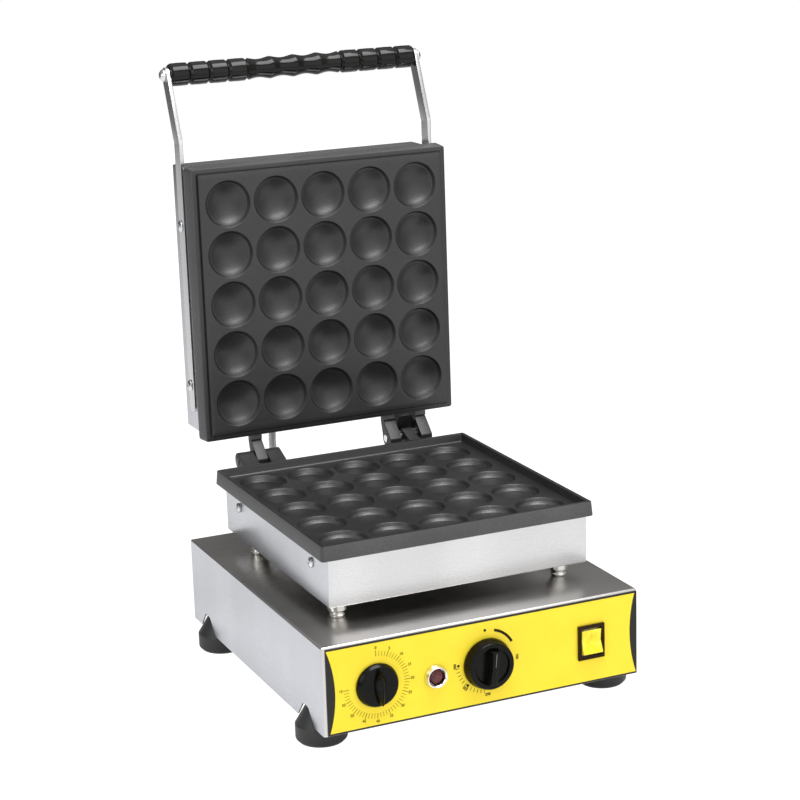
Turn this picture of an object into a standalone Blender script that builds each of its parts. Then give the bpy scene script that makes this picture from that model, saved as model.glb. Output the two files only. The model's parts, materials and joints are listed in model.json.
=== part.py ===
# Single bubble waffle maker: a sheet-steel base with its controls, a raised
# cooking head and a hinged lid with a long handle. Lengths are in metres,
# X to the right, Y to the rear, Z up, and the machine stands on Z = 0.
# It is modelled with the lid open, as it stands when it is being loaded.

import math

import bmesh
import bpy
from mathutils import Matrix, Vector

# Fits and shared sheet sizes
GAP = 0.0003
RUNNING_GAP = 0.0005
SHEET = 0.0012
OVERRUN = 0.002
MERGE_DISTANCE = GAP / 30

# How finely round shapes are divided
FINE_SIDES = 20
FOOT_SIDES = 16
CUP_SIDES = 20
ROUND_SIDES = 16
SMALL_SIDES = 12
HEX_SIDES = 6
SCREW_CROWN_SHARE = 0.75
SHARP_ANGLE = math.radians(40)

# The four places of whatever stands or is screwed at four corners
CORNERS = (("front_left", -1, -1), ("front_right", 1, -1), ("rear_left", -1, 1), ("rear_right", 1, 1))

# Directions in which turned and flat shapes are laid
ALONG_X = (0, math.pi / 2, 0)
FACING_FRONT = (math.pi / 2, 0, 0)
FACING_REAR = (-math.pi / 2, 0, 0)
FACING_SIDE = (math.pi / 2, 0, math.pi / 2)

# Base housing
BASE_WIDTH = 0.310
BASE_DEPTH = 0.337
BASE_HEIGHT = 0.0818
BASE_RISE = 0.0195
BASE_FRONT = -BASE_DEPTH / 2
BASE_REAR = BASE_DEPTH / 2
BASE_TOP = BASE_RISE + BASE_HEIGHT
BASE_INNER_X = BASE_WIDTH / 2 - SHEET
REAR_FLANGE = 0.012
NOTCH_HALF_WIDTH = 0.0194
NOTCH_SHOULDER_HALF_WIDTH = 0.0078
NOTCH_SHOULDER = 0.0132
NOTCH_HEIGHT = 0.0155
NOTCH_ARC_STEPS = 6

# Bottom cover, recessed above the lower edge
BOTTOM_COVER_INSET = 0.019
BOTTOM_COVER_FLANGE = 0.012
COVER_UNDERSIDE = BASE_RISE + BOTTOM_COVER_INSET
COVER_TOP = COVER_UNDERSIDE + SHEET

# Back panel over the flanged opening
BACK_PANEL_MARGIN = 0.004
BACK_PANEL_OUTER = BASE_REAR + GAP + SHEET

# Cable gland in the back panel
GLAND_X = 0.085
GLAND_HEIGHT = 0.0425
GLAND_NECK_RADIUS = 0.0077
GLAND_FLANGE_RADIUS = 0.011
GLAND_FLANGE_LENGTH = 0.008
GLAND_NECK_LENGTH = 0.014
GLAND_BORE_RADIUS = 0.004
GLAND_Z = BASE_RISE + GLAND_HEIGHT

# Rubber feet
FOOT_INSET_X = 0.014
FOOT_INSET_Y = 0.0415
FOOT_RADIUS = 0.02325
FOOT_EDGE = 0.003
FOOT_RIM_HEIGHT = 0.0175
FOOT_SHOULDER_RADIUS = 0.022
FOOT_NECK_RADIUS = 0.0122
FOOT_NECK_HEIGHT = 0.0345
FOOT_PLUG_RADIUS = 0.0065
FOOT_BARB_RADIUS = 0.0085
FOOT_BARB_HEIGHT = 0.006
FOOT_TOP = COVER_UNDERSIDE - GAP
FOOT_X = BASE_WIDTH / 2 - FOOT_INSET_X
FOOT_Y = BASE_DEPTH / 2 - FOOT_INSET_Y

# Control panel fascia
FASCIA_THICKNESS = 0.0008
FASCIA_MARGIN_LEFT = 0.0034
FASCIA_MARGIN_RIGHT = 0.0008
FASCIA_MARGIN_TOP = 0.0019
FASCIA_MARGIN_BOTTOM = 0.0006
FASCIA_FACE = BASE_FRONT - GAP - FASCIA_THICKNESS

# Places of the controls: across the housing, and above its lower edge
TIMER_X = -0.1047
TIMER_RISE = 0.0395
TIMER_Z = BASE_RISE + TIMER_RISE
LAMP_X = -0.0485
LAMP_RISE = 0.0365
LAMP_Z = BASE_RISE + LAMP_RISE
THERMOSTAT_X = 0.0020
THERMOSTAT_RISE = 0.0392
THERMOSTAT_Z = BASE_RISE + THERMOSTAT_RISE
SWITCH_X = 0.1063
SWITCH_RISE = 0.0402
SWITCH_Z = BASE_RISE + SWITCH_RISE

# Neck, nut and shaft shared by the timer and the thermostat
NECK_RADIUS = 0.0047
NECK_PROUD = 0.0035
CONTROL_NUT_RADIUS = 0.0075
CONTROL_NUT_HEIGHT = 0.002
SHAFT_RADIUS = 0.003
SHAFT_INSIDE = 0.012
KNOB_RISE = 0.0008
KNOB_RECESS_RADIUS = 0.0095
KNOB_RECESS_DEPTH = 0.0032
KNOB_BORE_DEPTH = 0.0075
SHAFT_END = FASCIA_FACE - KNOB_RISE - KNOB_BORE_DEPTH + GAP

# Timer
TIMER_BODY_WIDTH = 0.044
TIMER_BODY_HEIGHT = 0.036
TIMER_BODY_DEPTH = 0.038
TIMER_KNOB_RADIUS = 0.0202
TIMER_KNOB_TOP_RADIUS = 0.0178
TIMER_KNOB_HEIGHT = 0.0055
TIMER_GRIP_HEIGHT = 0.0085
TIMER_GRIP_WIDTH = 0.0120
TIMER_GRIP_CREST_SHARE = 0.45
TIMER_GRIP_LENGTH_SHARE = 0.94
TIMER_GRIP_TAPER_SHARE = 0.9

# Thermostat
THERMOSTAT_BODY_WIDTH = 0.040
THERMOSTAT_BODY_HEIGHT = 0.034
THERMOSTAT_BODY_DEPTH = 0.030
THERMOSTAT_KNOB_RADIUS = 0.0237
THERMOSTAT_KNOB_TOP_RADIUS = 0.0212
THERMOSTAT_KNOB_HEIGHT = 0.0105
THERMOSTAT_DISC_RADIUS = 0.0165
THERMOSTAT_DISC_DEPTH = 0.0025
THERMOSTAT_GRIP_WIDTH = 0.0080
THERMOSTAT_GRIP_HEIGHT = 0.0085
THERMOSTAT_GRIP_CREST_SHARE = 0.8
THERMOSTAT_GRIP_LENGTH_SHARE = 0.96
THERMOSTAT_GRIP_TAPER_SHARE = 0.95
THERMOSTAT_REST_TURN = math.radians(6)
BULB_RADIUS = 0.003
BULB_LENGTH = 0.060
CAPILLARY_RADIUS = 0.001

# Indicator lamp
LAMP_BEZEL_RADIUS = 0.011
LAMP_BEZEL_PROUD = 0.005
LAMP_BEZEL_LIP = 0.0015
LAMP_LENS_RADIUS = 0.0075
LAMP_LENS_PROUD = 0.0035
LAMP_LENS_SEAT = 0.003
LAMP_BODY_RADIUS = 0.009
LAMP_BODY_LENGTH = 0.024

# Rocker switch
SWITCH_FRAME_WIDTH = 0.0268
SWITCH_FRAME_HEIGHT = 0.0326
SWITCH_FRAME_PROUD = 0.0022
SWITCH_BODY_WIDTH = 0.0230
SWITCH_BODY_HEIGHT = 0.0290
SWITCH_BODY_DEPTH = 0.0220
SWITCH_WALL = 0.0012
ROCKER_SIDE_GAP = 0.0006
ROCKER_END_GAP = 0.0024
ROCKER_HORN = 0.0046
ROCKER_WAIST = 0.0016
ROCKER_SKIRT = 0.0015
ROCKER_KEEL = 0.0070
ROCKER_PIVOT_DEPTH = 0.0024
ROCKER_TILT = math.radians(10)
SWITCH_POCKET_DEPTH = 0.012

# Head housing, on four stand-offs above the base
STANDOFF_HEIGHT = 0.0168
HEAD_WIDTH = 0.256
HEAD_DEPTH = 0.257
HEAD_HEIGHT = 0.0436
HEAD_CENTRE_Y = 0.0034
HEAD_FLOOR = BASE_TOP + STANDOFF_HEIGHT
HEAD_FLOOR_TOP = HEAD_FLOOR + SHEET
HEAD_TOP = HEAD_FLOOR + HEAD_HEIGHT
HEAD_FRONT = HEAD_CENTRE_Y - HEAD_DEPTH / 2
HEAD_REAR = HEAD_CENTRE_Y + HEAD_DEPTH / 2
HEAD_INNER_X = HEAD_WIDTH / 2 - SHEET
STANDOFF_INSET_X = 0.017
STANDOFF_INSET_FRONT = 0.0235
STANDOFF_INSET_REAR = 0.0360
STANDOFF_RADIUS = 0.0095
STANDOFF_FOOT_RADIUS = 0.0058
STANDOFF_CAP_HEIGHT = 0.0090
STANDOFF_TAPER = 0.0045
STANDOFF_X = HEAD_WIDTH / 2 - STANDOFF_INSET_X
STANDOFF_FRONT_Y = HEAD_FRONT + STANDOFF_INSET_FRONT
STANDOFF_REAR_Y = HEAD_REAR - STANDOFF_INSET_REAR
STANDOFF_MIDDLE_Y = (STANDOFF_FRONT_Y + STANDOFF_REAR_Y) / 2
STANDOFF_HALF_Y = (STANDOFF_REAR_Y - STANDOFF_FRONT_Y) / 2
STUD_RADIUS = 0.003
STUD_LENGTH = 0.006

# Lower plate, resting on the head housing's upper edge
PLATE_WIDTH = 0.2666
PLATE_DEPTH = 0.2682
PLATE_CENTRE_Y = 0.0076
PLATE_DRAFT = 0.0013
LOWER_SLAB = 0.0140
LOWER_BLOCK = 0.017
RIM_WIDTH = 0.0045
TRAY_DEPTH = 0.008
PLATE_UNDERSIDE = HEAD_TOP + GAP
PLATE_TOP = PLATE_UNDERSIDE + LOWER_SLAB
PLATE_FRONT = PLATE_CENTRE_Y - PLATE_DEPTH / 2
PLATE_REAR = PLATE_CENTRE_Y + PLATE_DEPTH / 2
BLOCK_UNDERSIDE = PLATE_UNDERSIDE - LOWER_BLOCK

# Cups, the same in both plates
CUP_COUNT = 5
CUP_PITCH = 0.0492
CUP_RADIUS = 0.0225
CUP_WALL_RADIUS = 0.0208
CUP_WALL_DEPTH = 0.0035
CUP_DISH_RADIUS = 0.0118
CUP_DISH_DEPTH = 0.0092
CUP_DEPTH = 0.0112

# Screws through the sides of the head housing into the lower plate
SIDE_SCREW_RADIUS = 0.002
SIDE_SCREW_HEAD_RADIUS = 0.0046
SIDE_SCREW_HEAD_HEIGHT = 0.0028
SIDE_SCREW_DEPTH = 0.011
SIDE_SCREW_DROP = 0.0118
SIDE_SCREW_INSET_FRONT = 0.038
SIDE_SCREW_INSET_REAR = 0.037
SIDE_SCREW_Z = HEAD_TOP - SIDE_SCREW_DROP
SIDE_SCREW_FRONT_Y = HEAD_FRONT + SIDE_SCREW_INSET_FRONT
SIDE_SCREW_REAR_Y = HEAD_REAR - SIDE_SCREW_INSET_REAR
SIDE_SCREW_MIDDLE_Y = (SIDE_SCREW_FRONT_Y + SIDE_SCREW_REAR_Y) / 2
SIDE_SCREW_HALF_Y = (SIDE_SCREW_REAR_Y - SIDE_SCREW_FRONT_Y) / 2

# Hinges: the axis, the lugs on the lower plate and the legs on the upper
HINGE_SETBACK = 0.0228
HINGE_DROP = 0.0013
HINGE_Y = PLATE_REAR + HINGE_SETBACK
HINGE_Z = PLATE_TOP - HINGE_DROP
HINGE_PIN_RADIUS = 0.004
HINGE_PIN_PROUD = 0.0008
HINGE_EYE_RADIUS = 0.008
HINGE_ROOT = 0.003
LUG_ROOT_DROP = 0.0100
LUG_SHELF = 0.0035
LEG_HEEL_DROP = 0.0124
LEG_HEEL_BACK = 0.0018
LEG_HEEL_WIDTH = 0.0040
LEG_SHELF = 0.0067
LEG_CROWN = 0.0120
EYE_STEPS = 6
LEFT_HINGE_X = -0.0805
RIGHT_HINGE_X = 0.0805
LEFT_LEG_HALF_WIDTH = 0.0055
LEFT_LUG_WIDTH = 0.0160
RIGHT_LUG_HALF_WIDTH = 0.0060
RIGHT_LEG_SPREAD = 0.0170
RIGHT_LEG_WIDTH = 0.0120
RIGHT_WEB_REACH = 0.0030
RIGHT_WEB_RISE = 0.0005
WEB_CLEARANCE = 0.0006
WEB_EDGE = 0.0006
WEB_EDGE_START = math.radians(125)
WEB_EDGE_END = math.radians(118)
LEFT_HINGE_HALF_WIDTH = LEFT_LEG_HALF_WIDTH + RUNNING_GAP + LEFT_LUG_WIDTH
RIGHT_HINGE_HALF_WIDTH = RIGHT_LEG_SPREAD + RIGHT_LEG_WIDTH / 2

# Lid, modelled closed about the hinge axis and then swung open
LID_OPEN = math.radians(90.6)
RIM_GAP = 0.0008
UPPER_SLAB = 0.017
FIELD_PROUD = 0.003
FIELD_INSET = 0.0057
LID_RIM = HINGE_DROP + RIM_GAP
LID_BACK = LID_RIM + UPPER_SLAB
LID_REAR = -HINGE_SETBACK
LID_FRONT = LID_REAR - PLATE_DEPTH
LID_CENTRE_Y = (LID_REAR + LID_FRONT) / 2

# Lid cover
LID_COVER_HEIGHT = 0.050
LID_COVER_INSET = 0.0026
LID_COVER_WIDTH = 0.258
LID_COVER_FLOOR = LID_BACK + GAP
LID_COVER_TOP = LID_BACK + LID_COVER_HEIGHT
LID_COVER_REAR = LID_REAR - LID_COVER_INSET
LID_COVER_FRONT = LID_FRONT + LID_COVER_INSET
LID_COVER_INNER_X = LID_COVER_WIDTH / 2 - SHEET

# Arms, their screws and the cast bosses that take them
ARM_WIDTH = 0.015
ARM_THICKNESS = 0.004
ARM_ABOVE_PLATE = 0.020
ARM_END_INSET = 0.0305
ARM_BEND_BEYOND = 0.0218
HANDLE_BEYOND_BEND = 0.0625
HANDLE_LIFT = 0.025
ARM_END_STEPS = 6
ARM_INNER_X = LID_COVER_WIDTH / 2 + GAP
ARM_OUTER_X = ARM_INNER_X + ARM_THICKNESS
ARM_Z = LID_BACK + ARM_ABOVE_PLATE
ARM_BEND_Y = LID_FRONT - ARM_BEND_BEYOND
HANDLE_Y = ARM_BEND_Y - HANDLE_BEYOND_BEND
HANDLE_Z = ARM_Z + HANDLE_LIFT
ARM_SCREW_INSET_REAR = 0.050
ARM_SCREW_INSET_FRONT = 0.0592
ARM_SCREW_RADIUS = 0.0025
ARM_SCREW_HEAD_RADIUS = 0.0055
ARM_SCREW_HEAD_HEIGHT = 0.003
ARM_SCREW_DEPTH = 0.010
ARM_SCREW_REAR_Y = LID_REAR - ARM_SCREW_INSET_REAR
ARM_SCREW_FRONT_Y = LID_FRONT + ARM_SCREW_INSET_FRONT
ARM_SCREW_MIDDLE_Y = (ARM_SCREW_FRONT_Y + ARM_SCREW_REAR_Y) / 2
ARM_SCREW_HALF_Y = (ARM_SCREW_REAR_Y - ARM_SCREW_FRONT_Y) / 2
BOSS_WIDTH = 0.016
BOSS_LENGTH = 0.018
BOSS_ABOVE_SCREW = 0.008

# Handle
ROD_RADIUS = 0.004
GRIP_RADIUS = 0.011
GRIP_GROOVE_WIDTH = 0.0045
GRIP_GROOVE_DEPTH = 0.0020
GRIP_FINGER_DEPTH = 0.0020
GRIP_FINGER_STEPS = 4
GRIP_BARREL_PITCH = 0.0198
GRIP_BARRELS = 4
GRIP_FINGERS = 4
GRIP_LENGTH = 2 * (ARM_INNER_X - RUNNING_GAP)
NUT_RADIUS = 0.006
NUT_HEIGHT = 0.0045
NUT_DOME_RADIUS = 0.0040
NUT_DOME_SHARE = 0.85
NUT_BORE_DEPTH = 0.0025

# Heating elements, clamps and insulation in the head and in the lid
HEATER_RADIUS = 0.004
HEATER_PITCH = 0.050
HEATER_FRONT_REACH = 0.104
HEATER_REAR_REACH = 0.078
HEATER_TAIL_REACH = 0.100
HEATER_BEND_STEPS = 7
CLAMP_THICKNESS = 0.0015
CLAMP_HALF_WIDTH = 0.088
CLAMP_FRONT_REACH = 0.098
CLAMP_REAR_REACH = 0.074
CLAMP_SCREW_RADIUS = 0.0025
CLAMP_SCREW_HEAD_RADIUS = 0.0045
CLAMP_SCREW_HEAD_HEIGHT = 0.003
CLAMP_SCREW_DEPTH = 0.006
PAD_HALF_WIDTH = 0.098
PAD_FRONT_REACH = 0.106
PAD_REAR_REACH = 0.088
HEATER_DEPTH = GAP + HEATER_RADIUS
CLAMP_DEPTH = GAP + 2 * HEATER_RADIUS + GAP
CLAMP_HEAD_DEPTH = CLAMP_DEPTH + CLAMP_THICKNESS + GAP + CLAMP_SCREW_HEAD_HEIGHT

# Terminal block on the bottom cover
TERMINAL_X = 0.070
TERMINAL_WIDTH = 0.060
TERMINAL_DEPTH = 0.024
TERMINAL_HEIGHT = 0.020

# Wiring and the hole by which it passes from the base into the head
TRUNK_RADIUS = 0.0035
LEAD_HOLE_RADIUS = 0.010
LEAD_HOLE_X = -0.028
LEAD_HOLE_INSET = 0.0195
LEAD_HOLE_Y = HEAD_REAR - LEAD_HOLE_INSET
LEAD_OFFSET = 0.0050
TRUNK_RISE = 0.009
TRUNK_TOP = HEAD_FLOOR_TOP + TRUNK_RISE
WIRE_LEAVE = 0.014
WIRE_TURN = 0.020
TRUNK_HEIGHT = 0.010
CAPILLARY_DROP = 0.0085
ROUTE_STEPS = 3

# Braided conduit that carries the lid's wiring across the hinge
CONDUIT_X = -0.0530
CONDUIT_RADIUS = 0.0035
CONDUIT_ABOVE_PLATE = 0.013
CONDUIT_HEAD_DROP = 0.0215
CONDUIT_INSIDE = 0.003
CONDUIT_STRAIGHT = 0.012
CONDUIT_LEAVE_SHARE = 1.2
CONDUIT_SAG = 0.034
CONDUIT_STEPS = 6
FITTING_RADIUS = 0.0065
FITTING_LENGTH = 0.006
CONDUIT_Z = HEAD_TOP - CONDUIT_HEAD_DROP
CONDUIT_LID_Z = LID_BACK + CONDUIT_ABOVE_PLATE

# The origin is midway between the thermostat knob and the open lid's handle
KNOB_REACH = THERMOSTAT_KNOB_HEIGHT - THERMOSTAT_DISC_DEPTH + THERMOSTAT_GRIP_HEIGHT
FRONT_REACH = FASCIA_FACE - KNOB_RISE - KNOB_REACH
REAR_REACH = HINGE_Y + HANDLE_Y * math.cos(LID_OPEN) + HANDLE_Z * math.sin(LID_OPEN) + GRIP_RADIUS
BASE_CENTRE_Y = -(FRONT_REACH + REAR_REACH) / 2

for leftover in list(bpy.data.objects):
    bpy.data.objects.remove(leftover, do_unlink=True)

machine = bpy.data.collections.new("bubble_waffle_maker")
tools = bpy.data.collections.new("cutters")
bpy.context.scene.collection.children.link(machine)
bpy.context.scene.collection.children.link(tools)


def make_material(name, colour, metallic, roughness):
    material = bpy.data.materials.new(name)
    material.use_nodes = True
    shader = material.node_tree.nodes["Principled BSDF"]
    shader.inputs["Base Color"].default_value = (*colour, 1)
    shader.inputs["Metallic"].default_value = metallic
    shader.inputs["Roughness"].default_value = roughness
    material.diffuse_color = (*colour, 1)
    return material


STEEL = make_material("brushed_stainless", (0.60, 0.60, 0.62), 1.0, 0.38)
CAST = make_material("non_stick_casting", (0.060, 0.060, 0.062), 0.3, 0.45)
YELLOW = make_material("yellow_fascia", (0.95, 0.78, 0.03), 0.0, 0.35)
ROCKER_YELLOW = make_material("rocker_yellow", (0.93, 0.72, 0.02), 0.0, 0.2)
BLACK = make_material("black_plastic", (0.012, 0.012, 0.012), 0.0, 0.22)
RUBBER = make_material("black_rubber", (0.022, 0.022, 0.024), 0.0, 0.6)
NICKEL = make_material("nickel_plate", (0.72, 0.70, 0.66), 1.0, 0.18)
ZINC = make_material("zinc_plate", (0.66, 0.67, 0.69), 1.0, 0.3)
LENS_RED = make_material("red_lens", (0.25, 0.008, 0.010), 0.0, 0.12)
WOOL = make_material("ceramic_wool", (0.82, 0.80, 0.74), 0.0, 0.95)
CERAMIC = make_material("ceramic", (0.86, 0.84, 0.78), 0.0, 0.4)
COPPER = make_material("copper_tube", (0.70, 0.33, 0.18), 1.0, 0.35)
SLEEVING = make_material("glass_sleeving", (0.70, 0.68, 0.62), 0.0, 0.8)
BRAID = make_material("braided_steel", (0.62, 0.62, 0.63), 1.0, 0.35)


def add_object(name, data, material, parent, location=(0, 0, 0), rotation=(0, 0, 0)):
    item = bpy.data.objects.new(name, data)
    item.parent = parent
    item.location = location
    item.rotation_euler = rotation
    if material is None:
        tools.objects.link(item)
        item.hide_render = True
        item.display_type = "WIRE"
        return item
    machine.objects.link(item)
    data.materials.append(material)
    return item


def baked_mesh(item, name):
    graph = bpy.context.evaluated_depsgraph_get()
    mesh = bpy.data.meshes.new_from_object(item.evaluated_get(graph))
    mesh.name = name
    shape = bmesh.new()
    shape.from_mesh(mesh)
    bmesh.ops.remove_doubles(shape, verts=shape.verts, dist=MERGE_DISTANCE)
    bmesh.ops.recalc_face_normals(shape, faces=shape.faces)
    shape.to_mesh(mesh)
    shape.free()
    bpy.data.objects.remove(item, do_unlink=True)
    return mesh


def round_off(mesh):
    mesh.shade_smooth()
    mesh.set_sharp_from_angle(angle=SHARP_ANGLE)
    return mesh


def cube_mesh(name, size, crest_shares=(1, 1)):
    mesh = bpy.data.meshes.new(name)
    shape = bmesh.new()
    bmesh.ops.create_cube(shape, size=1, matrix=Matrix.Diagonal((*size, 1)))
    for corner in shape.verts:
        if corner.co.z > 0:
            corner.co.x *= crest_shares[0]
            corner.co.y *= crest_shares[1]
    shape.to_mesh(mesh)
    shape.free()
    return mesh


def block(name, low, high, material, parent, crest_shares=(1, 1)):
    low = Vector(low)
    high = Vector(high)
    mesh = cube_mesh(name, high - low, crest_shares)
    return add_object(name, mesh, material, parent, (low + high) / 2)


def cylinder(name, centre, length, radius, material, parent, rotation=(0, 0, 0), sides=ROUND_SIDES):
    mesh = bpy.data.meshes.new(name)
    shape = bmesh.new()
    bmesh.ops.create_cone(
        shape, cap_ends=True, segments=sides, radius1=radius, radius2=radius, depth=length
    )
    shape.to_mesh(mesh)
    shape.free()
    return add_object(name, round_off(mesh), material, parent, centre, rotation)


# A turned mesh about Z. The profile runs down the outer side; where it is
# closed, it comes back up the bore.
def turned_mesh(name, profile, closed=False, sides=ROUND_SIDES):
    count = len(profile)
    edges = [(index, index + 1) for index in range(count - 1)]
    if closed:
        edges.append((count - 1, 0))
    outline = bpy.data.meshes.new(name)
    outline.from_pydata([(radius, 0, height) for radius, height in profile], edges, [])
    item = add_object(name, outline, None, None)
    screw = item.modifiers.new("turn", "SCREW")
    screw.angle = math.tau
    screw.steps = sides
    screw.render_steps = sides
    screw.use_merge_vertices = True
    screw.merge_threshold = MERGE_DISTANCE
    return round_off(baked_mesh(item, name))


# A flat mesh in its own XY plane, half its thickness to each side; the loops
# after the first are holes.
def outline_mesh(name, loops, thickness):
    curve = bpy.data.curves.new(name, "CURVE")
    curve.dimensions = "2D"
    curve.fill_mode = "BOTH"
    curve.extrude = thickness / 2
    for loop in loops:
        spline = curve.splines.new("POLY")
        spline.points.add(len(loop) - 1)
        for point, (across, up) in zip(spline.points, loop):
            point.co = (across, up, 0, 1)
        spline.use_cyclic_u = True
    return baked_mesh(add_object(name, curve, None, None), name)


def ring_points(sides, radius, centre=(0, 0)):
    turns = [math.tau * step / sides for step in range(sides)]
    return [(centre[0] + radius * math.cos(turn), centre[1] + radius * math.sin(turn)) for turn in turns]


def arc_points(centre, radius, start, end, steps):
    turns = [start + (end - start) * step / steps for step in range(steps + 1)]
    return [(centre[0] + radius * math.cos(turn), centre[1] + radius * math.sin(turn)) for turn in turns]


def moved(mesh, offset, rotation=(0, 0, 0)):
    turn = Matrix.Rotation(rotation[2], 4, "Z")
    turn = turn @ Matrix.Rotation(rotation[1], 4, "Y") @ Matrix.Rotation(rotation[0], 4, "X")
    mesh.transform(Matrix.Translation(offset) @ turn)
    return mesh


def mirror_copies(item, axes):
    mirror = item.modifiers.new("copies", "MIRROR")
    mirror.use_axis = [axis in axes for axis in "XYZ"]
    mirror.use_mirror_merge = False
    mirror.merge_threshold = MERGE_DISTANCE
    return item


def combine(item, tool, operation="DIFFERENCE"):
    step = item.modifiers.new(tool.name, "BOOLEAN")
    step.operation = operation
    step.solver = "EXACT"
    step.object = tool
    return item


# An open box whose sheet is folded in from its outer faces
def folded_box(name, low, high, open_sides, material, parent):
    item = block(name, low, high, material, parent)
    shape = bmesh.new()
    shape.from_mesh(item.data)
    directions = {"-Z": Vector((0, 0, -1)), "+Z": Vector((0, 0, 1)), "-Y": Vector((0, -1, 0)), "+Y": Vector((0, 1, 0))}
    removed = [face for face in shape.faces for side in open_sides if face.normal.dot(directions[side]) > 0.9]
    bmesh.ops.delete(shape, geom=removed, context="FACES")
    shape.to_mesh(item.data)
    shape.free()
    wall = item.modifiers.new("sheet", "SOLIDIFY")
    wall.thickness = SHEET
    wall.offset = -1
    wall.use_even_offset = True
    return item


# A smooth curve through the chosen points, as a list of close points
def smooth_route(points, steps):
    points = [Vector(point) for point in points]
    padded = [2 * points[0] - points[1], *points, 2 * points[-1] - points[-2]]
    route = []
    for before, start, end, after in zip(padded, padded[1:], padded[2:], padded[3:]):
        for step in range(steps):
            share = step / steps
            pull = (end - before) * share + (2 * before - 5 * start + 4 * end - after) * share ** 2
            pull += (3 * start - before - 3 * end + after) * share ** 3
            route.append(start + pull / 2)
    route.append(points[-1])
    return route


def tube(name, route, radius, resolution, material, parent, radius_shares=None):
    curve = bpy.data.curves.new(name, "CURVE")
    curve.dimensions = "3D"
    curve.bevel_depth = radius
    curve.bevel_resolution = resolution
    curve.use_fill_caps = True
    spline = curve.splines.new("POLY")
    spline.points.add(len(route) - 1)
    for index, (point, place) in enumerate(zip(spline.points, route)):
        point.co = (*place, 1)
        point.radius = radius_shares[index] if radius_shares else 1
    return add_object(name, curve, material, parent)


# A pan-head or socket-head screw pointing down its own -Z, its head's
# underside at Z = 0
def screw_mesh(name, shank_radius, shank_length, head_radius, head_height, crown_share=SCREW_CROWN_SHARE):
    profile = [
        (0, head_height),
        (head_radius * crown_share, head_height),
        (head_radius, head_height * crown_share / 2),
        (head_radius, 0),
        (shank_radius, 0),
        (shank_radius, -shank_length),
        (0, -shank_length),
    ]
    return turned_mesh(name, profile, sides=SMALL_SIDES)


def nut_mesh(name, radius, bore_radius, height):
    loops = [ring_points(HEX_SIDES, radius), ring_points(SMALL_SIDES, bore_radius)]
    return outline_mesh(name, loops, height)


machine_root = bpy.data.objects.new("machine_root", None)
machine.objects.link(machine_root)
machine_root.location = (0, BASE_CENTRE_Y, 0)

lid_pivot = bpy.data.objects.new("lid_pivot", None)
machine.objects.link(lid_pivot)
lid_pivot.parent = machine_root
lid_pivot.location = (0, HINGE_Y, HINGE_Z)
lid_pivot.rotation_euler = (-LID_OPEN, 0, 0)


# Base housing: top, front, sides and a flanged rear in one folded sheet
def build_base_housing():
    item = folded_box(
        "base_housing",
        (-BASE_WIDTH / 2, BASE_FRONT, BASE_RISE),
        (BASE_WIDTH / 2, BASE_REAR, BASE_TOP),
        ("-Z",), STEEL, machine_root,
    )
    opening = block(
        "rear_opening_cutter",
        (REAR_FLANGE - BASE_INNER_X, BASE_REAR - SHEET - OVERRUN, BASE_RISE + REAR_FLANGE),
        (BASE_INNER_X - REAR_FLANGE, BASE_REAR + OVERRUN, BASE_TOP - SHEET - REAR_FLANGE),
        None, machine_root,
    )
    combine(item, opening)
    for name, side in (("front_notch_cutter", -1), ("rear_notch_cutter", 1)):
        arch = [
            (
                NOTCH_SHOULDER_HALF_WIDTH * math.cos(math.pi * step / NOTCH_ARC_STEPS),
                NOTCH_SHOULDER + (NOTCH_HEIGHT - NOTCH_SHOULDER) * math.sin(math.pi * step / NOTCH_ARC_STEPS),
            )
            for step in range(NOTCH_ARC_STEPS + 1)
        ]
        outline = [(-NOTCH_HALF_WIDTH, 0), (-NOTCH_HALF_WIDTH, -OVERRUN)]
        outline += [(NOTCH_HALF_WIDTH, -OVERRUN), (NOTCH_HALF_WIDTH, 0), *arch]
        mesh = outline_mesh(name, [outline], BASE_WIDTH + 2 * OVERRUN)
        combine(item, add_object(name, mesh, None, machine_root, (0, side * FOOT_Y, BASE_RISE), FACING_SIDE))
    cut_panel_holes(item, "housing", BASE_FRONT + SHEET / 2, SHEET)
    stud_holes = stud_cutter("base_stud_cutter", STUD_RADIUS + GAP, SHEET + 2 * OVERRUN, BASE_TOP - SHEET / 2)
    combine(item, stud_holes)
    lead_hole = cylinder(
        "base_lead_cutter", (LEAD_HOLE_X, LEAD_HOLE_Y, BASE_TOP - SHEET / 2),
        SHEET + 2 * OVERRUN, LEAD_HOLE_RADIUS, None, machine_root,
    )
    combine(item, lead_hole)


# Holes for the timer, lamp, thermostat and switch through a front sheet
def cut_panel_holes(item, label, middle_y, thickness):
    depth = thickness + 2 * OVERRUN
    neck = NECK_RADIUS + GAP
    body = LAMP_BODY_RADIUS + GAP
    for name, x, z, radius in (
        (f"{label}_timer_cutter", TIMER_X, TIMER_Z, neck),
        (f"{label}_lamp_cutter", LAMP_X, LAMP_Z, body),
        (f"{label}_thermostat_cutter", THERMOSTAT_X, THERMOSTAT_Z, neck),
    ):
        combine(item, cylinder(name, (x, middle_y, z), depth, radius, None, machine_root, FACING_FRONT))
    half_width = SWITCH_BODY_WIDTH / 2 + GAP
    half_height = SWITCH_BODY_HEIGHT / 2 + GAP
    window = block(
        f"{label}_switch_cutter",
        (SWITCH_X - half_width, middle_y - depth / 2, SWITCH_Z - half_height),
        (SWITCH_X + half_width, middle_y + depth / 2, SWITCH_Z + half_height),
        None, machine_root,
    )
    combine(item, window)


# One hole at each stand-off, as a single cutter
def stud_cutter(name, radius, length, height):
    item = cylinder(name, (0, STANDOFF_MIDDLE_Y, height), length, radius, None, machine_root, sides=SMALL_SIDES)
    moved(item.data, (STANDOFF_X, STANDOFF_HALF_Y, 0))
    return mirror_copies(item, "XY")


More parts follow.
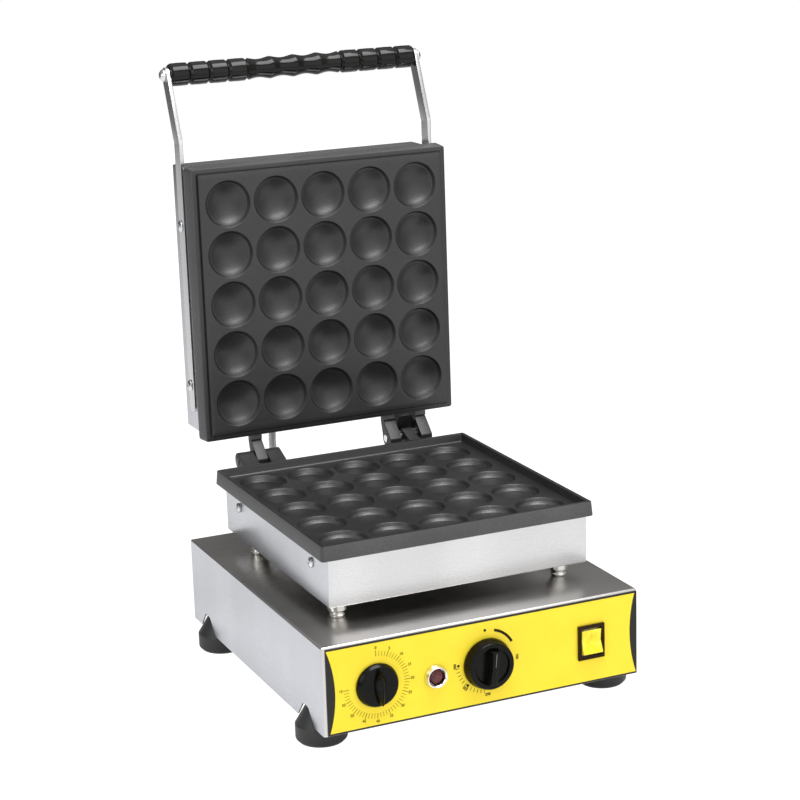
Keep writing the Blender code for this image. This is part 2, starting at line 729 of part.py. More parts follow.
def build_bottom_cover():
    half_width = BASE_INNER_X - GAP
    item = folded_box(
        "bottom_cover",
        (-half_width, BASE_FRONT + SHEET + GAP, COVER_UNDERSIDE),
        (half_width, BASE_REAR - SHEET - GAP, COVER_TOP + BOTTOM_COVER_FLANGE),
        ("+Z", "-Y", "+Y"), STEEL, machine_root,
    )
    holes = cylinder(
        "foot_hole_cutter", (0, 0, COVER_UNDERSIDE + SHEET / 2), SHEET + 2 * OVERRUN,
        FOOT_PLUG_RADIUS + GAP, None, machine_root,
    )
    moved(holes.data, (FOOT_X, FOOT_Y, 0))
    combine(item, mirror_copies(holes, "XY"))


def build_back_panel():
    half_width = BASE_WIDTH / 2 - BACK_PANEL_MARGIN
    item = block(
        "back_panel",
        (-half_width, BASE_REAR + GAP, BASE_RISE + BACK_PANEL_MARGIN),
        (half_width, BACK_PANEL_OUTER, BASE_TOP - BACK_PANEL_MARGIN),
        STEEL, machine_root,
    )
    gland_hole = cylinder(
        "gland_cutter", (GLAND_X, BACK_PANEL_OUTER, GLAND_Z), 2 * (SHEET + OVERRUN),
        GLAND_NECK_RADIUS + GAP, None, machine_root, FACING_REAR,
    )
    combine(item, gland_hole)
    profile = [
        (GLAND_BORE_RADIUS, GLAND_FLANGE_LENGTH),
        (GLAND_NECK_RADIUS, GLAND_FLANGE_LENGTH),
        (GLAND_FLANGE_RADIUS, GLAND_FLANGE_LENGTH / 2),
        (GLAND_FLANGE_RADIUS, 0),
        (GLAND_NECK_RADIUS, 0),
        (GLAND_NECK_RADIUS, -GLAND_NECK_LENGTH),
        (GLAND_BORE_RADIUS, -GLAND_NECK_LENGTH),
    ]
    mesh = turned_mesh("cable_gland", profile, closed=True)
    add_object("cable_gland", mesh, BLACK, machine_root, (GLAND_X, BACK_PANEL_OUTER + GAP, GLAND_Z), FACING_REAR)


# Feet: a rimmed rubber disc that narrows to a neck under the bottom cover,
# with a plug and a barbed head pushed up through the cover's hole
def build_feet():
    barb_seat = COVER_TOP + GAP
    profile = [
        (0, barb_seat + FOOT_BARB_HEIGHT),
        (FOOT_PLUG_RADIUS - SHEET, barb_seat + FOOT_BARB_HEIGHT),
        (FOOT_BARB_RADIUS, barb_seat),
        (FOOT_PLUG_RADIUS, barb_seat),
        (FOOT_PLUG_RADIUS, FOOT_TOP),
        (FOOT_NECK_RADIUS, FOOT_TOP),
        (FOOT_NECK_RADIUS, FOOT_NECK_HEIGHT),
        (FOOT_SHOULDER_RADIUS, FOOT_RIM_HEIGHT),
        (FOOT_RADIUS, FOOT_RIM_HEIGHT - FOOT_EDGE / 2),
        (FOOT_RADIUS, FOOT_EDGE),
        (FOOT_RADIUS - FOOT_EDGE, 0),
        (0, 0),
    ]
    for corner, across, along in CORNERS:
        mesh = turned_mesh(f"foot_{corner}", profile, sides=FOOT_SIDES)
        add_object(f"foot_{corner}", mesh, RUBBER, machine_root, (across * FOOT_X, along * FOOT_Y, 0))


def build_fascia():
    item = block(
        "front_fascia",
        (FASCIA_MARGIN_LEFT - BASE_WIDTH / 2, FASCIA_FACE, BASE_RISE + FASCIA_MARGIN_BOTTOM),
        (BASE_WIDTH / 2 - FASCIA_MARGIN_RIGHT, BASE_FRONT - GAP, BASE_TOP - FASCIA_MARGIN_TOP),
        YELLOW, machine_root,
    )
    cut_panel_holes(item, "fascia", FASCIA_FACE + FASCIA_THICKNESS / 2, FASCIA_THICKNESS)


# A boxed control behind the front sheet, its threaded neck through the panel,
# the nut on the neck and the shaft that the knob turns
def build_control(prefix, x, z, width, height, depth):
    front = BASE_FRONT + SHEET + GAP
    body = block(
        f"{prefix}_body", (x - width / 2, front, z - height / 2), (x + width / 2, front + depth, z + height / 2),
        BLACK, machine_root,
    )
    neck_end = FASCIA_FACE - NECK_PROUD
    neck = cylinder(
        f"{prefix}_neck_tool", (x, (front + OVERRUN + neck_end) / 2, z), front + OVERRUN - neck_end,
        NECK_RADIUS, None, machine_root, FACING_FRONT,
    )
    combine(body, neck, "UNION")
    bore_end = front + SHAFT_INSIDE + GAP
    bore = cylinder(
        f"{prefix}_bore_cutter", (x, (bore_end + neck_end - OVERRUN) / 2, z), bore_end - neck_end + OVERRUN,
        SHAFT_RADIUS + GAP, None, machine_root, FACING_FRONT, SMALL_SIDES,
    )
    combine(body, bore)
    nut = nut_mesh(f"{prefix}_nut", CONTROL_NUT_RADIUS, NECK_RADIUS + GAP, CONTROL_NUT_HEIGHT)
    nut_y = FASCIA_FACE - GAP - CONTROL_NUT_HEIGHT / 2
    add_object(f"{prefix}_nut", nut, ZINC, machine_root, (x, nut_y, z), FACING_FRONT)
    shaft_rear = front + SHAFT_INSIDE
    cylinder(
        f"{prefix}_shaft", (x, (SHAFT_END + shaft_rear) / 2, z), shaft_rear - SHAFT_END, SHAFT_RADIUS,
        ZINC, machine_root, FACING_FRONT, SMALL_SIDES,
    )


# The underside that every knob shares: a recess for the control's nut
def knob_underside():
    return [(KNOB_RECESS_RADIUS, 0), (KNOB_RECESS_RADIUS, KNOB_RECESS_DEPTH), (0, KNOB_RECESS_DEPTH)]


# A knob's shaft bore, cut from the recess upwards once its grip is on
def knob_bore_cutter(name, place):
    length = KNOB_BORE_DEPTH - KNOB_RECESS_DEPTH + OVERRUN
    middle = Vector(place) - Vector((0, KNOB_BORE_DEPTH - length / 2, 0))
    return cylinder(name, middle, length, SHAFT_RADIUS + GAP, None, machine_root, FACING_FRONT, SMALL_SIDES)


def build_timer_knob():
    profile = [(0, TIMER_KNOB_HEIGHT), (TIMER_KNOB_TOP_RADIUS, TIMER_KNOB_HEIGHT), (TIMER_KNOB_RADIUS, 0)]
    mesh = turned_mesh("timer_knob", profile + knob_underside(), sides=FINE_SIDES)
    place = (TIMER_X, FASCIA_FACE - KNOB_RISE, TIMER_Z)
    knob = add_object("timer_knob", mesh, BLACK, machine_root, place, FACING_FRONT)
    length = 2 * TIMER_KNOB_TOP_RADIUS * TIMER_GRIP_LENGTH_SHARE
    height = TIMER_GRIP_HEIGHT + OVERRUN
    grip = cube_mesh("timer_grip_tool", (TIMER_GRIP_WIDTH, length, height), (TIMER_GRIP_CREST_SHARE, TIMER_GRIP_TAPER_SHARE))
    moved(grip, (0, 0, TIMER_KNOB_HEIGHT - OVERRUN + height / 2))
    combine(knob, add_object("timer_grip_tool", grip, None, machine_root, place, FACING_FRONT), "UNION")
    combine(knob, knob_bore_cutter("timer_bore_cutter", place))


def build_thermostat_knob():
    disc_height = THERMOSTAT_KNOB_HEIGHT - THERMOSTAT_DISC_DEPTH
    profile = [
        (0, disc_height),
        (THERMOSTAT_DISC_RADIUS, disc_height),
        (THERMOSTAT_DISC_RADIUS, THERMOSTAT_KNOB_HEIGHT),
        (THERMOSTAT_KNOB_TOP_RADIUS, THERMOSTAT_KNOB_HEIGHT),
        (THERMOSTAT_KNOB_RADIUS, 0),
    ]
    mesh = turned_mesh("thermostat_knob", profile + knob_underside(), sides=FINE_SIDES)
    place = (THERMOSTAT_X, FASCIA_FACE - KNOB_RISE, THERMOSTAT_Z)
    knob = add_object("thermostat_knob", mesh, BLACK, machine_root, place, FACING_FRONT)
    length = 2 * THERMOSTAT_DISC_RADIUS * THERMOSTAT_GRIP_LENGTH_SHARE
    height = THERMOSTAT_GRIP_HEIGHT + OVERRUN
    crest = (THERMOSTAT_GRIP_CREST_SHARE, THERMOSTAT_GRIP_TAPER_SHARE)
    grip = cube_mesh("thermostat_grip_tool", (THERMOSTAT_GRIP_WIDTH, length, height), crest)
    moved(grip, (0, 0, disc_height - OVERRUN + height / 2))
    moved(grip, (0, 0, 0), (0, 0, -THERMOSTAT_REST_TURN))
    combine(knob, add_object("thermostat_grip_tool", grip, None, machine_root, place, FACING_FRONT), "UNION")
    combine(knob, knob_bore_cutter("thermostat_bore_cutter", place))


# Lamp: one moulding with a bezel in front of the fascia and a body behind it
def build_lamp():
    place = (LAMP_X, FASCIA_FACE - GAP, LAMP_Z)
    bore = LAMP_LENS_RADIUS + GAP
    profile = [
        (bore, LAMP_BEZEL_PROUD),
        (LAMP_BEZEL_RADIUS - LAMP_BEZEL_LIP, LAMP_BEZEL_PROUD),
        (LAMP_BEZEL_RADIUS, 0),
        (LAMP_BODY_RADIUS, 0),
        (LAMP_BODY_RADIUS, -LAMP_BODY_LENGTH),
        (0, -LAMP_BODY_LENGTH),
        (0, -LAMP_LENS_SEAT),
        (bore, -LAMP_LENS_SEAT),
    ]
    mesh = turned_mesh("lamp_housing", profile, closed=True)
    add_object("lamp_housing", mesh, NICKEL, machine_root, place, FACING_FRONT)
    profile = [
        (0, LAMP_LENS_PROUD),
        (LAMP_LENS_RADIUS - LAMP_BEZEL_LIP, LAMP_LENS_PROUD),
        (LAMP_LENS_RADIUS, LAMP_LENS_PROUD - LAMP_BEZEL_LIP),
        (LAMP_LENS_RADIUS, GAP - LAMP_LENS_SEAT),
        (0, GAP - LAMP_LENS_SEAT),
    ]
    add_object("lamp_lens", turned_mesh("lamp_lens", profile), LENS_RED, machine_root, place, FACING_FRONT)


# Switch: a framed case with a pocket, and the rocker that tilts in it
def build_switch():
    seat = FASCIA_FACE - GAP
    face = seat - SWITCH_FRAME_PROUD
    case = block(
        "switch_housing",
        (SWITCH_X - SWITCH_FRAME_WIDTH / 2, face, SWITCH_Z - SWITCH_FRAME_HEIGHT / 2),
        (SWITCH_X + SWITCH_FRAME_WIDTH / 2, seat, SWITCH_Z + SWITCH_FRAME_HEIGHT / 2),
        BLACK, machine_root,
    )
    body = block(
        "switch_body_tool",
        (SWITCH_X - SWITCH_BODY_WIDTH / 2, seat - SWITCH_FRAME_PROUD / 2, SWITCH_Z - SWITCH_BODY_HEIGHT / 2),
        (SWITCH_X + SWITCH_BODY_WIDTH / 2, seat + SWITCH_BODY_DEPTH, SWITCH_Z + SWITCH_BODY_HEIGHT / 2),
        None, machine_root,
    )
    combine(case, body, "UNION")
    pocket_half_width = SWITCH_BODY_WIDTH / 2 - SWITCH_WALL
    pocket_half_height = SWITCH_BODY_HEIGHT / 2 - SWITCH_WALL
    pocket = block(
        "switch_pocket_cutter",
        (SWITCH_X - pocket_half_width, face - OVERRUN, SWITCH_Z - pocket_half_height),
        (SWITCH_X + pocket_half_width, face + SWITCH_POCKET_DEPTH, SWITCH_Z + pocket_half_height),
        None, machine_root,
    )
    combine(case, pocket)
    reach = pocket_half_height - ROCKER_END_GAP
    outline = [
        (-reach, -ROCKER_SKIRT),
        (0, -ROCKER_KEEL),
        (reach, -ROCKER_SKIRT),
        (reach, ROCKER_HORN),
        (0, ROCKER_WAIST),
        (-reach, ROCKER_HORN),
    ]
    outline = [(-outward, up) for up, outward in outline]
    width = 2 * (pocket_half_width - ROCKER_SIDE_GAP)
    rocker = add_object(
        "switch_rocker", outline_mesh("switch_rocker", [outline], width), ROCKER_YELLOW, machine_root,
        (SWITCH_X, face + ROCKER_PIVOT_DEPTH, SWITCH_Z),
    )
    moved(rocker.data, (0, 0, 0), FACING_SIDE)
    rocker.rotation_euler = (-ROCKER_TILT, 0, 0)


def build_terminal_block():
    block(
        "terminal_block",
        (TERMINAL_X - TERMINAL_WIDTH / 2, LEAD_HOLE_Y - TERMINAL_DEPTH / 2, COVER_TOP + GAP),
        (TERMINAL_X + TERMINAL_WIDTH / 2, LEAD_HOLE_Y + TERMINAL_DEPTH / 2, COVER_TOP + GAP + TERMINAL_HEIGHT),
        CERAMIC, machine_root,
    )


# The loom leaves the terminal block and rises through both holes into the head
def build_supply_loom():
    trunk_x = LEAD_HOLE_X - LEAD_OFFSET
    trunk_z = COVER_TOP + TRUNK_HEIGHT
    points = (
        (TERMINAL_X - TERMINAL_WIDTH / 2 - GAP, LEAD_HOLE_Y, trunk_z),
        (TERMINAL_X - TERMINAL_WIDTH / 2 - WIRE_TURN, LEAD_HOLE_Y, trunk_z),
        (trunk_x + WIRE_TURN / 2, LEAD_HOLE_Y, trunk_z + TRUNK_RADIUS),
        (trunk_x, LEAD_HOLE_Y, trunk_z + WIRE_TURN),
        (trunk_x, LEAD_HOLE_Y, BASE_TOP),
        (trunk_x, LEAD_HOLE_Y, TRUNK_TOP),
    )
    tube("supply_loom", smooth_route(points, ROUTE_STEPS), TRUNK_RADIUS, 2, SLEEVING, machine_root)


# The thermostat's copper capillary and the bulb between the heater's runs
def build_thermostat_bulb():
    start_y = BASE_FRONT + SHEET + GAP + THERMOSTAT_BODY_DEPTH
    start_z = THERMOSTAT_Z + THERMOSTAT_BODY_HEIGHT / 4
    level = BASE_TOP - SHEET - CAPILLARY_DROP
    rise_x = LEAD_HOLE_X + LEAD_OFFSET
    bulb_x = HEATER_PITCH
    bulb_z = BLOCK_UNDERSIDE - GAP - BULB_RADIUS
    rear_y = HEAD_REAR - LEAD_HOLE_INSET
    bulb_rear = HEAD_CENTRE_Y + BULB_LENGTH / 2
    points = (
        (THERMOSTAT_X + WIRE_TURN / 2, start_y + GAP, start_z),
        (THERMOSTAT_X + WIRE_TURN / 2, start_y + WIRE_LEAVE, start_z),
        (THERMOSTAT_X, start_y + 2 * WIRE_LEAVE, level),
        (rise_x, LEAD_HOLE_Y - WIRE_TURN, level),
        (rise_x, LEAD_HOLE_Y, BASE_TOP),
        (rise_x, LEAD_HOLE_Y, HEAD_FLOOR_TOP + SHEET),
        (rise_x + WIRE_TURN / 2, rear_y, bulb_z - HEATER_RADIUS),
        (bulb_x - WIRE_TURN, rear_y - GAP, bulb_z),
        (bulb_x, rear_y - WIRE_LEAVE, bulb_z),
        (bulb_x, bulb_rear + WIRE_LEAVE, bulb_z),
        (bulb_x, bulb_rear, bulb_z),
    )
    route = smooth_route(points, ROUTE_STEPS)
    shares = [1] * len(route) + [BULB_RADIUS / CAPILLARY_RADIUS] * 2
    route.append(Vector((bulb_x, bulb_rear - CAPILLARY_RADIUS, bulb_z)))
    route.append(Vector((bulb_x, bulb_rear - BULB_LENGTH, bulb_z)))
    tube("thermostat_bulb", route, CAPILLARY_RADIUS, 1, COPPER, machine_root, shares)


# Turned stand-offs with a stud at each end, screwed into the pressed threads
# of the base's top and of the head housing's floor
def build_standoffs():
    top = STANDOFF_HEIGHT - GAP
    profile = [
        (0, top + STUD_LENGTH),
        (STUD_RADIUS, top + STUD_LENGTH),
        (STUD_RADIUS, top),
        (STANDOFF_RADIUS - GAP, top),
        (STANDOFF_RADIUS, top - SHEET),
        (STANDOFF_RADIUS, top - STANDOFF_CAP_HEIGHT),
        (STANDOFF_FOOT_RADIUS, top - STANDOFF_CAP_HEIGHT - STANDOFF_TAPER),
        (STANDOFF_FOOT_RADIUS, GAP),
        (STUD_RADIUS, GAP),
        (STUD_RADIUS, -STUD_LENGTH),
        (0, -STUD_LENGTH),
    ]
    for corner, across, along in CORNERS:
        name = f"standoff_{corner}"
        y = STANDOFF_MIDDLE_Y + along * STANDOFF_HALF_Y
        place = (across * STANDOFF_X, y, BASE_TOP)
        mesh = turned_mesh(name, profile, sides=SMALL_SIDES)
        add_object(name, mesh, NICKEL, machine_root, place)


def build_head_housing():
    item = folded_box(
        "head_housing",
        (-HEAD_WIDTH / 2, HEAD_FRONT, HEAD_FLOOR),
        (HEAD_WIDTH / 2, HEAD_REAR, HEAD_TOP),
        ("+Z",), STEEL, machine_root,
    )
    combine(item, stud_cutter("head_stud_cutter", STUD_RADIUS + GAP, SHEET + 2 * OVERRUN, HEAD_FLOOR + SHEET / 2))
    lead_hole = cylinder(
        "head_lead_cutter", (LEAD_HOLE_X, LEAD_HOLE_Y, HEAD_FLOOR + SHEET / 2),
        SHEET + 2 * OVERRUN, LEAD_HOLE_RADIUS, None, machine_root,
    )
    combine(item, lead_hole)
    conduit_hole = cylinder(
        "head_conduit_cutter", (CONDUIT_X, HEAD_REAR - SHEET / 2, CONDUIT_Z), SHEET + 2 * OVERRUN,
        CONDUIT_RADIUS + GAP, None, machine_root, FACING_REAR,
    )
    combine(item, conduit_hole)
    combine(item, side_screw_cutter("head_side_cutter", OVERRUN, SHEET + OVERRUN))
    for corner, across, along in CORNERS:
        name = f"head_screw_{corner}"
        mesh = screw_mesh(
            name, SIDE_SCREW_RADIUS, GAP + SHEET + SIDE_SCREW_DEPTH,
            SIDE_SCREW_HEAD_RADIUS, SIDE_SCREW_HEAD_HEIGHT,
        )
        x = across * (HEAD_WIDTH / 2 + GAP)
        y = SIDE_SCREW_MIDDLE_Y + along * SIDE_SCREW_HALF_Y
        add_object(name, mesh, ZINC, machine_root, (x, y, SIDE_SCREW_Z), (0, across * math.pi / 2, 0))


# Holes for the side screws, from outside the housing to a given depth
def side_screw_cutter(name, outside, depth):
    length = outside + depth
    item = cylinder(
        name, (0, SIDE_SCREW_MIDDLE_Y, SIDE_SCREW_Z), length, SIDE_SCREW_RADIUS + GAP, None, machine_root,
        sides=SMALL_SIDES,
    )
    moved(item.data, (HEAD_WIDTH / 2 + outside - length / 2, SIDE_SCREW_HALF_Y, 0), ALONG_X)
    return mirror_copies(item, "XY")


# Twenty-five cups as one cutter, pointing down from the plate's face
def cup_cutter(name, parent, location, rotation):
    profile = [
        (0, OVERRUN),
        (CUP_RADIUS, OVERRUN),
        (CUP_RADIUS, 0),
        (CUP_WALL_RADIUS, -CUP_WALL_DEPTH),
        (CUP_DISH_RADIUS, -CUP_DISH_DEPTH),
        (0, -CUP_DEPTH),
    ]
    mesh = turned_mesh(name, profile, sides=CUP_SIDES)
    first = -CUP_PITCH * (CUP_COUNT - 1) / 2
    moved(mesh, (first, first, 0))
    item = add_object(name, mesh, None, parent, location, rotation)
    for axis in range(2):
        array = item.modifiers.new("row", "ARRAY")
        array.count = CUP_COUNT
        array.use_relative_offset = False
        array.use_constant_offset = True
        step = [0, 0, 0]
        step[axis] = CUP_PITCH
        array.constant_offset_displace = step
    return item


# Lug outline on the lower plate, in (Y, Z) about the hinge axis
def lug_outline():
    root = -HINGE_SETBACK - HINGE_ROOT
    eye = arc_points((0, 0), HINGE_EYE_RADIUS, math.radians(125), -math.radians(90), EYE_STEPS)
    return [
        (root, -LUG_ROOT_DROP),
        (root, HINGE_DROP / 2),
        (-HINGE_SETBACK + LUG_SHELF, HINGE_DROP / 2),
        *eye,
    ]


# Leg outline on the upper plate, in (Y, Z) about the hinge axis, lid closed
def leg_outline():
    root = LID_REAR - HINGE_ROOT
    eye = arc_points((0, 0), HINGE_EYE_RADIUS, 0, math.radians(100), EYE_STEPS)
    return [
        (root, LID_RIM + RIM_GAP),
        (LID_REAR + LEG_SHELF, LID_RIM),
        (-LEG_HEEL_BACK, -LEG_HEEL_DROP),
        (LEG_HEEL_WIDTH - LEG_HEEL_BACK, -LEG_HEEL_DROP),
        *eye,
        (LID_REAR + LEG_SHELF, LEG_CROWN),
        (root, LEG_CROWN),
    ]


# Web that closes the gap between the right hinge's legs, behind its lug
def web_outline():
    root = LID_REAR - HINGE_ROOT
    low = LID_RIM + RIGHT_WEB_RISE
    high = LEG_CROWN - RIGHT_WEB_RISE
    edge = arc_points((0, 0), HINGE_EYE_RADIUS + WEB_CLEARANCE, WEB_EDGE_START, WEB_EDGE_END, 1)
    tip_y, tip_z = edge[-1]
    return [
        (root, low),
        (LID_REAR + RIGHT_WEB_REACH, low),
        *edge,
        (tip_y, tip_z + WEB_EDGE),
        (LID_REAR + LEG_SHELF, high),
        (root, high),
    ]


def hinge_plate(name, outline, low_x, high_x, parent, location):
    mesh = outline_mesh(name, [outline], high_x - low_x)
    place = Vector(location) + Vector(((low_x + high_x) / 2, 0, 0))
    return add_object(name, mesh, None, parent, place, FACING_SIDE)


def pin_bore_cutter(name, centre_x, half_width, parent, location):
    place = Vector(location) + Vector((centre_x, 0, 0))
    length = 2 * (half_width + OVERRUN)
    return cylinder(name, place, length, HINGE_PIN_RADIUS + GAP, None, parent, ALONG_X)


def build_lower_plate():
    flare = (PLATE_WIDTH + 2 * PLATE_DRAFT, PLATE_DEPTH + 2 * PLATE_DRAFT)
    crest = (PLATE_WIDTH / flare[0], PLATE_DEPTH / flare[1])
    item = block(
        "lower_plate",
        (-flare[0] / 2, PLATE_CENTRE_Y - flare[1] / 2, PLATE_UNDERSIDE),
        (flare[0] / 2, PLATE_CENTRE_Y + flare[1] / 2, PLATE_TOP),
        CAST, machine_root, crest,
    )
    core = block(
        "lower_block_tool",
        (GAP - HEAD_INNER_X, HEAD_FRONT + SHEET + GAP, BLOCK_UNDERSIDE),
        (HEAD_INNER_X - GAP, HEAD_REAR - SHEET - GAP, PLATE_UNDERSIDE + OVERRUN),
        None, machine_root,
    )
    combine(item, core, "UNION")
    hinge = (0, HINGE_Y, HINGE_Z)
    inner = LEFT_LEG_HALF_WIDTH + RUNNING_GAP
    for name, low_x, high_x in (
        ("left_outer_lug_tool", LEFT_HINGE_X - LEFT_HINGE_HALF_WIDTH, LEFT_HINGE_X - inner),
        ("left_inner_lug_tool", LEFT_HINGE_X + inner, LEFT_HINGE_X + LEFT_HINGE_HALF_WIDTH),
        ("right_lug_tool", RIGHT_HINGE_X - RIGHT_LUG_HALF_WIDTH, RIGHT_HINGE_X + RIGHT_LUG_HALF_WIDTH),
    ):
        combine(item, hinge_plate(name, lug_outline(), low_x, high_x, machine_root, hinge), "UNION")
    tray = block(
        "tray_cutter",
        (RIM_WIDTH - PLATE_WIDTH / 2, PLATE_FRONT + RIM_WIDTH, PLATE_TOP - TRAY_DEPTH),
        (PLATE_WIDTH / 2 - RIM_WIDTH, PLATE_REAR - RIM_WIDTH, PLATE_TOP + OVERRUN),
        None, machine_root,
    )
    combine(item, tray)
    combine(item, cup_cutter("lower_cup_cutter", machine_root, (0, PLATE_CENTRE_Y, PLATE_TOP - TRAY_DEPTH), (0, 0, 0)))
    combine(item, pin_bore_cutter("lower_left_bore", LEFT_HINGE_X, LEFT_HINGE_HALF_WIDTH, machine_root, hinge))
    combine(item, pin_bore_cutter("lower_right_bore", RIGHT_HINGE_X, RIGHT_LUG_HALF_WIDTH, machine_root, hinge))
    depth = SHEET + SIDE_SCREW_DEPTH + GAP
    combine(item, side_screw_cutter("block_side_cutter", OVERRUN, depth))
    combine(item, clamp_screw_cutter("block_clamp_cutter", machine_root, lower_face(), -OVERRUN, CLAMP_SCREW_DEPTH + GAP))
    for name, centre_x, half_width in (
        ("hinge_pin_left", LEFT_HINGE_X, LEFT_HINGE_HALF_WIDTH),
        ("hinge_pin_right", RIGHT_HINGE_X, RIGHT_HINGE_HALF_WIDTH),
    ):
        length = 2 * (half_width + HINGE_PIN_PROUD)
        place = (centre_x, HINGE_Y, HINGE_Z)
        cylinder(name, place, length, HINGE_PIN_RADIUS, ZINC, machine_root, ALONG_X)


# Where the lower stack hangs from its plate, and where the upper one stands
def lower_face():
    return Vector((0, HEAD_CENTRE_Y, BLOCK_UNDERSIDE))


def upper_face():
    return Vector((0, LID_CENTRE_Y, LID_BACK))


# The clamp's screw hole, from a height below the plate's face to one above it
def clamp_screw_cutter(name, parent, face, low, high):
    place = face + Vector((0, 0, (low + high) / 2))
    return cylinder(name, place, high - low, CLAMP_SCREW_RADIUS + GAP, None, parent, sides=SMALL_SIDES)


# Heater, clamp, screw and pad on one face of a plate. The heater is one
# tube bent into four runs; both its ends leave towards the rear.
def build_heating_stack(prefix, parent, face, side, pad_end):
    half = HEATER_PITCH / 2
    front_bend = half - HEATER_FRONT_REACH
    rear_bend = HEATER_REAR_REACH - half
    level = side * HEATER_DEPTH
    turns = [math.pi * step / HEATER_BEND_STEPS for step in range(HEATER_BEND_STEPS + 1)]
    flat = [(-3 * half, HEATER_TAIL_REACH)]
    flat += [(-2 * half - half * math.cos(turn), front_bend - half * math.sin(turn)) for turn in turns]
    flat += [(-half * math.cos(turn), rear_bend + half * math.sin(turn)) for turn in turns]
    flat += [(2 * half - half * math.cos(turn), front_bend - half * math.sin(turn)) for turn in turns]
    flat += [(3 * half, HEATER_TAIL_REACH)]
    route = [(x, y, level) for x, y in flat]
    heater = tube(f"{prefix}_heater", route, HEATER_RADIUS, 2, ZINC, parent)
    heater.location = face

    near = side * CLAMP_DEPTH
    far = side * (CLAMP_DEPTH + CLAMP_THICKNESS)
    low = face + Vector((-CLAMP_HALF_WIDTH, -CLAMP_FRONT_REACH, min(near, far)))
    high = face + Vector((CLAMP_HALF_WIDTH, CLAMP_REAR_REACH, max(near, far)))
    clamp = block(f"{prefix}_heater_clamp", low, high, STEEL, parent)
    hole = clamp_screw_cutter(
        f"{prefix}_clamp_hole_cutter", parent, face, min(near, far) - OVERRUN, max(near, far) + OVERRUN,
    )
    combine(clamp, hole)
    name = f"{prefix}_clamp_screw"
    length = CLAMP_DEPTH + CLAMP_THICKNESS + GAP + CLAMP_SCREW_DEPTH
    mesh = screw_mesh(name, CLAMP_SCREW_RADIUS, length, CLAMP_SCREW_HEAD_RADIUS, CLAMP_SCREW_HEAD_HEIGHT)
    place = face + Vector((0, 0, far + side * GAP))
    add_object(name, mesh, ZINC, parent, place, (math.pi if side < 0 else 0, 0, 0))

    pad_near = side * (CLAMP_HEAD_DEPTH + GAP)
    low = face + Vector((-PAD_HALF_WIDTH, -PAD_FRONT_REACH, min(pad_near, pad_end - face.z)))
    high = face + Vector((PAD_HALF_WIDTH, PAD_REAR_REACH, max(pad_near, pad_end - face.z)))
    block(f"{prefix}_insulation", low, high, WOOL, parent)


def build_upper_plate():
    flare = (PLATE_WIDTH + 2 * PLATE_DRAFT, PLATE_DEPTH + 2 * PLATE_DRAFT)
    crest = (flare[0] / PLATE_WIDTH, flare[1] / PLATE_DEPTH)
    item = block(
        "upper_plate",
        (-PLATE_WIDTH / 2, LID_FRONT, LID_RIM),
        (PLATE_WIDTH / 2, LID_REAR, LID_BACK),
        CAST, lid_pivot, crest,
    )
    field = block(
        "field_tool",
        (FIELD_INSET - PLATE_WIDTH / 2, LID_FRONT + FIELD_INSET, LID_RIM - FIELD_PROUD),
        (PLATE_WIDTH / 2 - FIELD_INSET, LID_REAR - FIELD_INSET, LID_RIM + OVERRUN),
        None, lid_pivot,
    )
    combine(item, field, "UNION")
    axis = (0, 0, 0)
    half = RIGHT_LEG_WIDTH / 2
    for name, low_x, high_x in (
        ("left_leg_tool", LEFT_HINGE_X - LEFT_LEG_HALF_WIDTH, LEFT_HINGE_X + LEFT_LEG_HALF_WIDTH),
        ("right_inner_leg_tool", RIGHT_HINGE_X - RIGHT_LEG_SPREAD - half, RIGHT_HINGE_X - RIGHT_LEG_SPREAD + half),
        ("right_outer_leg_tool", RIGHT_HINGE_X + RIGHT_LEG_SPREAD - half, RIGHT_HINGE_X + RIGHT_LEG_SPREAD + half),
    ):
        combine(item, hinge_plate(name, leg_outline(), low_x, high_x, lid_pivot, axis), "UNION")
    low_x = RIGHT_HINGE_X - RIGHT_LEG_SPREAD
    high_x = RIGHT_HINGE_X + RIGHT_LEG_SPREAD
    combine(item, hinge_plate("right_web_tool", web_outline(), low_x, high_x, lid_pivot, axis), "UNION")
    boss_outer = LID_COVER_INNER_X - GAP
    boss = cube_mesh("boss_tool", (BOSS_WIDTH, BOSS_LENGTH, ARM_Z + BOSS_ABOVE_SCREW - LID_BACK + OVERRUN))
    moved(boss, (boss_outer - BOSS_WIDTH / 2, ARM_SCREW_HALF_Y, 0))
    place = (0, ARM_SCREW_MIDDLE_Y, (ARM_Z + BOSS_ABOVE_SCREW + LID_BACK - OVERRUN) / 2)
    bosses = mirror_copies(add_object("boss_tool", boss, None, lid_pivot, place), "XY")
    combine(item, bosses, "UNION")
    combine(item, cup_cutter("upper_cup_cutter", lid_pivot, (0, LID_CENTRE_Y, LID_RIM - FIELD_PROUD), (math.pi, 0, 0)))
    combine(item, pin_bore_cutter("upper_left_bore", LEFT_HINGE_X, LEFT_LEG_HALF_WIDTH, lid_pivot, axis))
    combine(item, pin_bore_cutter("upper_right_bore", RIGHT_HINGE_X, RIGHT_HINGE_HALF_WIDTH, lid_pivot, axis))
    combine(item, arm_screw_cutter("boss_screw_cutter", SHEET + ARM_SCREW_DEPTH + GAP))
    combine(item, clamp_screw_cutter("upper_clamp_cutter", lid_pivot, upper_face(), -CLAMP_SCREW_DEPTH - GAP, OVERRUN))


# Holes for the arm screws, from outside the cover to a given depth
def arm_screw_cutter(name, depth):
    length = OVERRUN + depth
    item = cylinder(
        name, (0, ARM_SCREW_MIDDLE_Y, ARM_Z), length, ARM_SCREW_RADIUS + GAP, None, lid_pivot, sides=SMALL_SIDES,
    )
    moved(item.data, (LID_COVER_WIDTH / 2 + OVERRUN - length / 2, ARM_SCREW_HALF_Y, 0), ALONG_X)
    return mirror_copies(item, "XY")


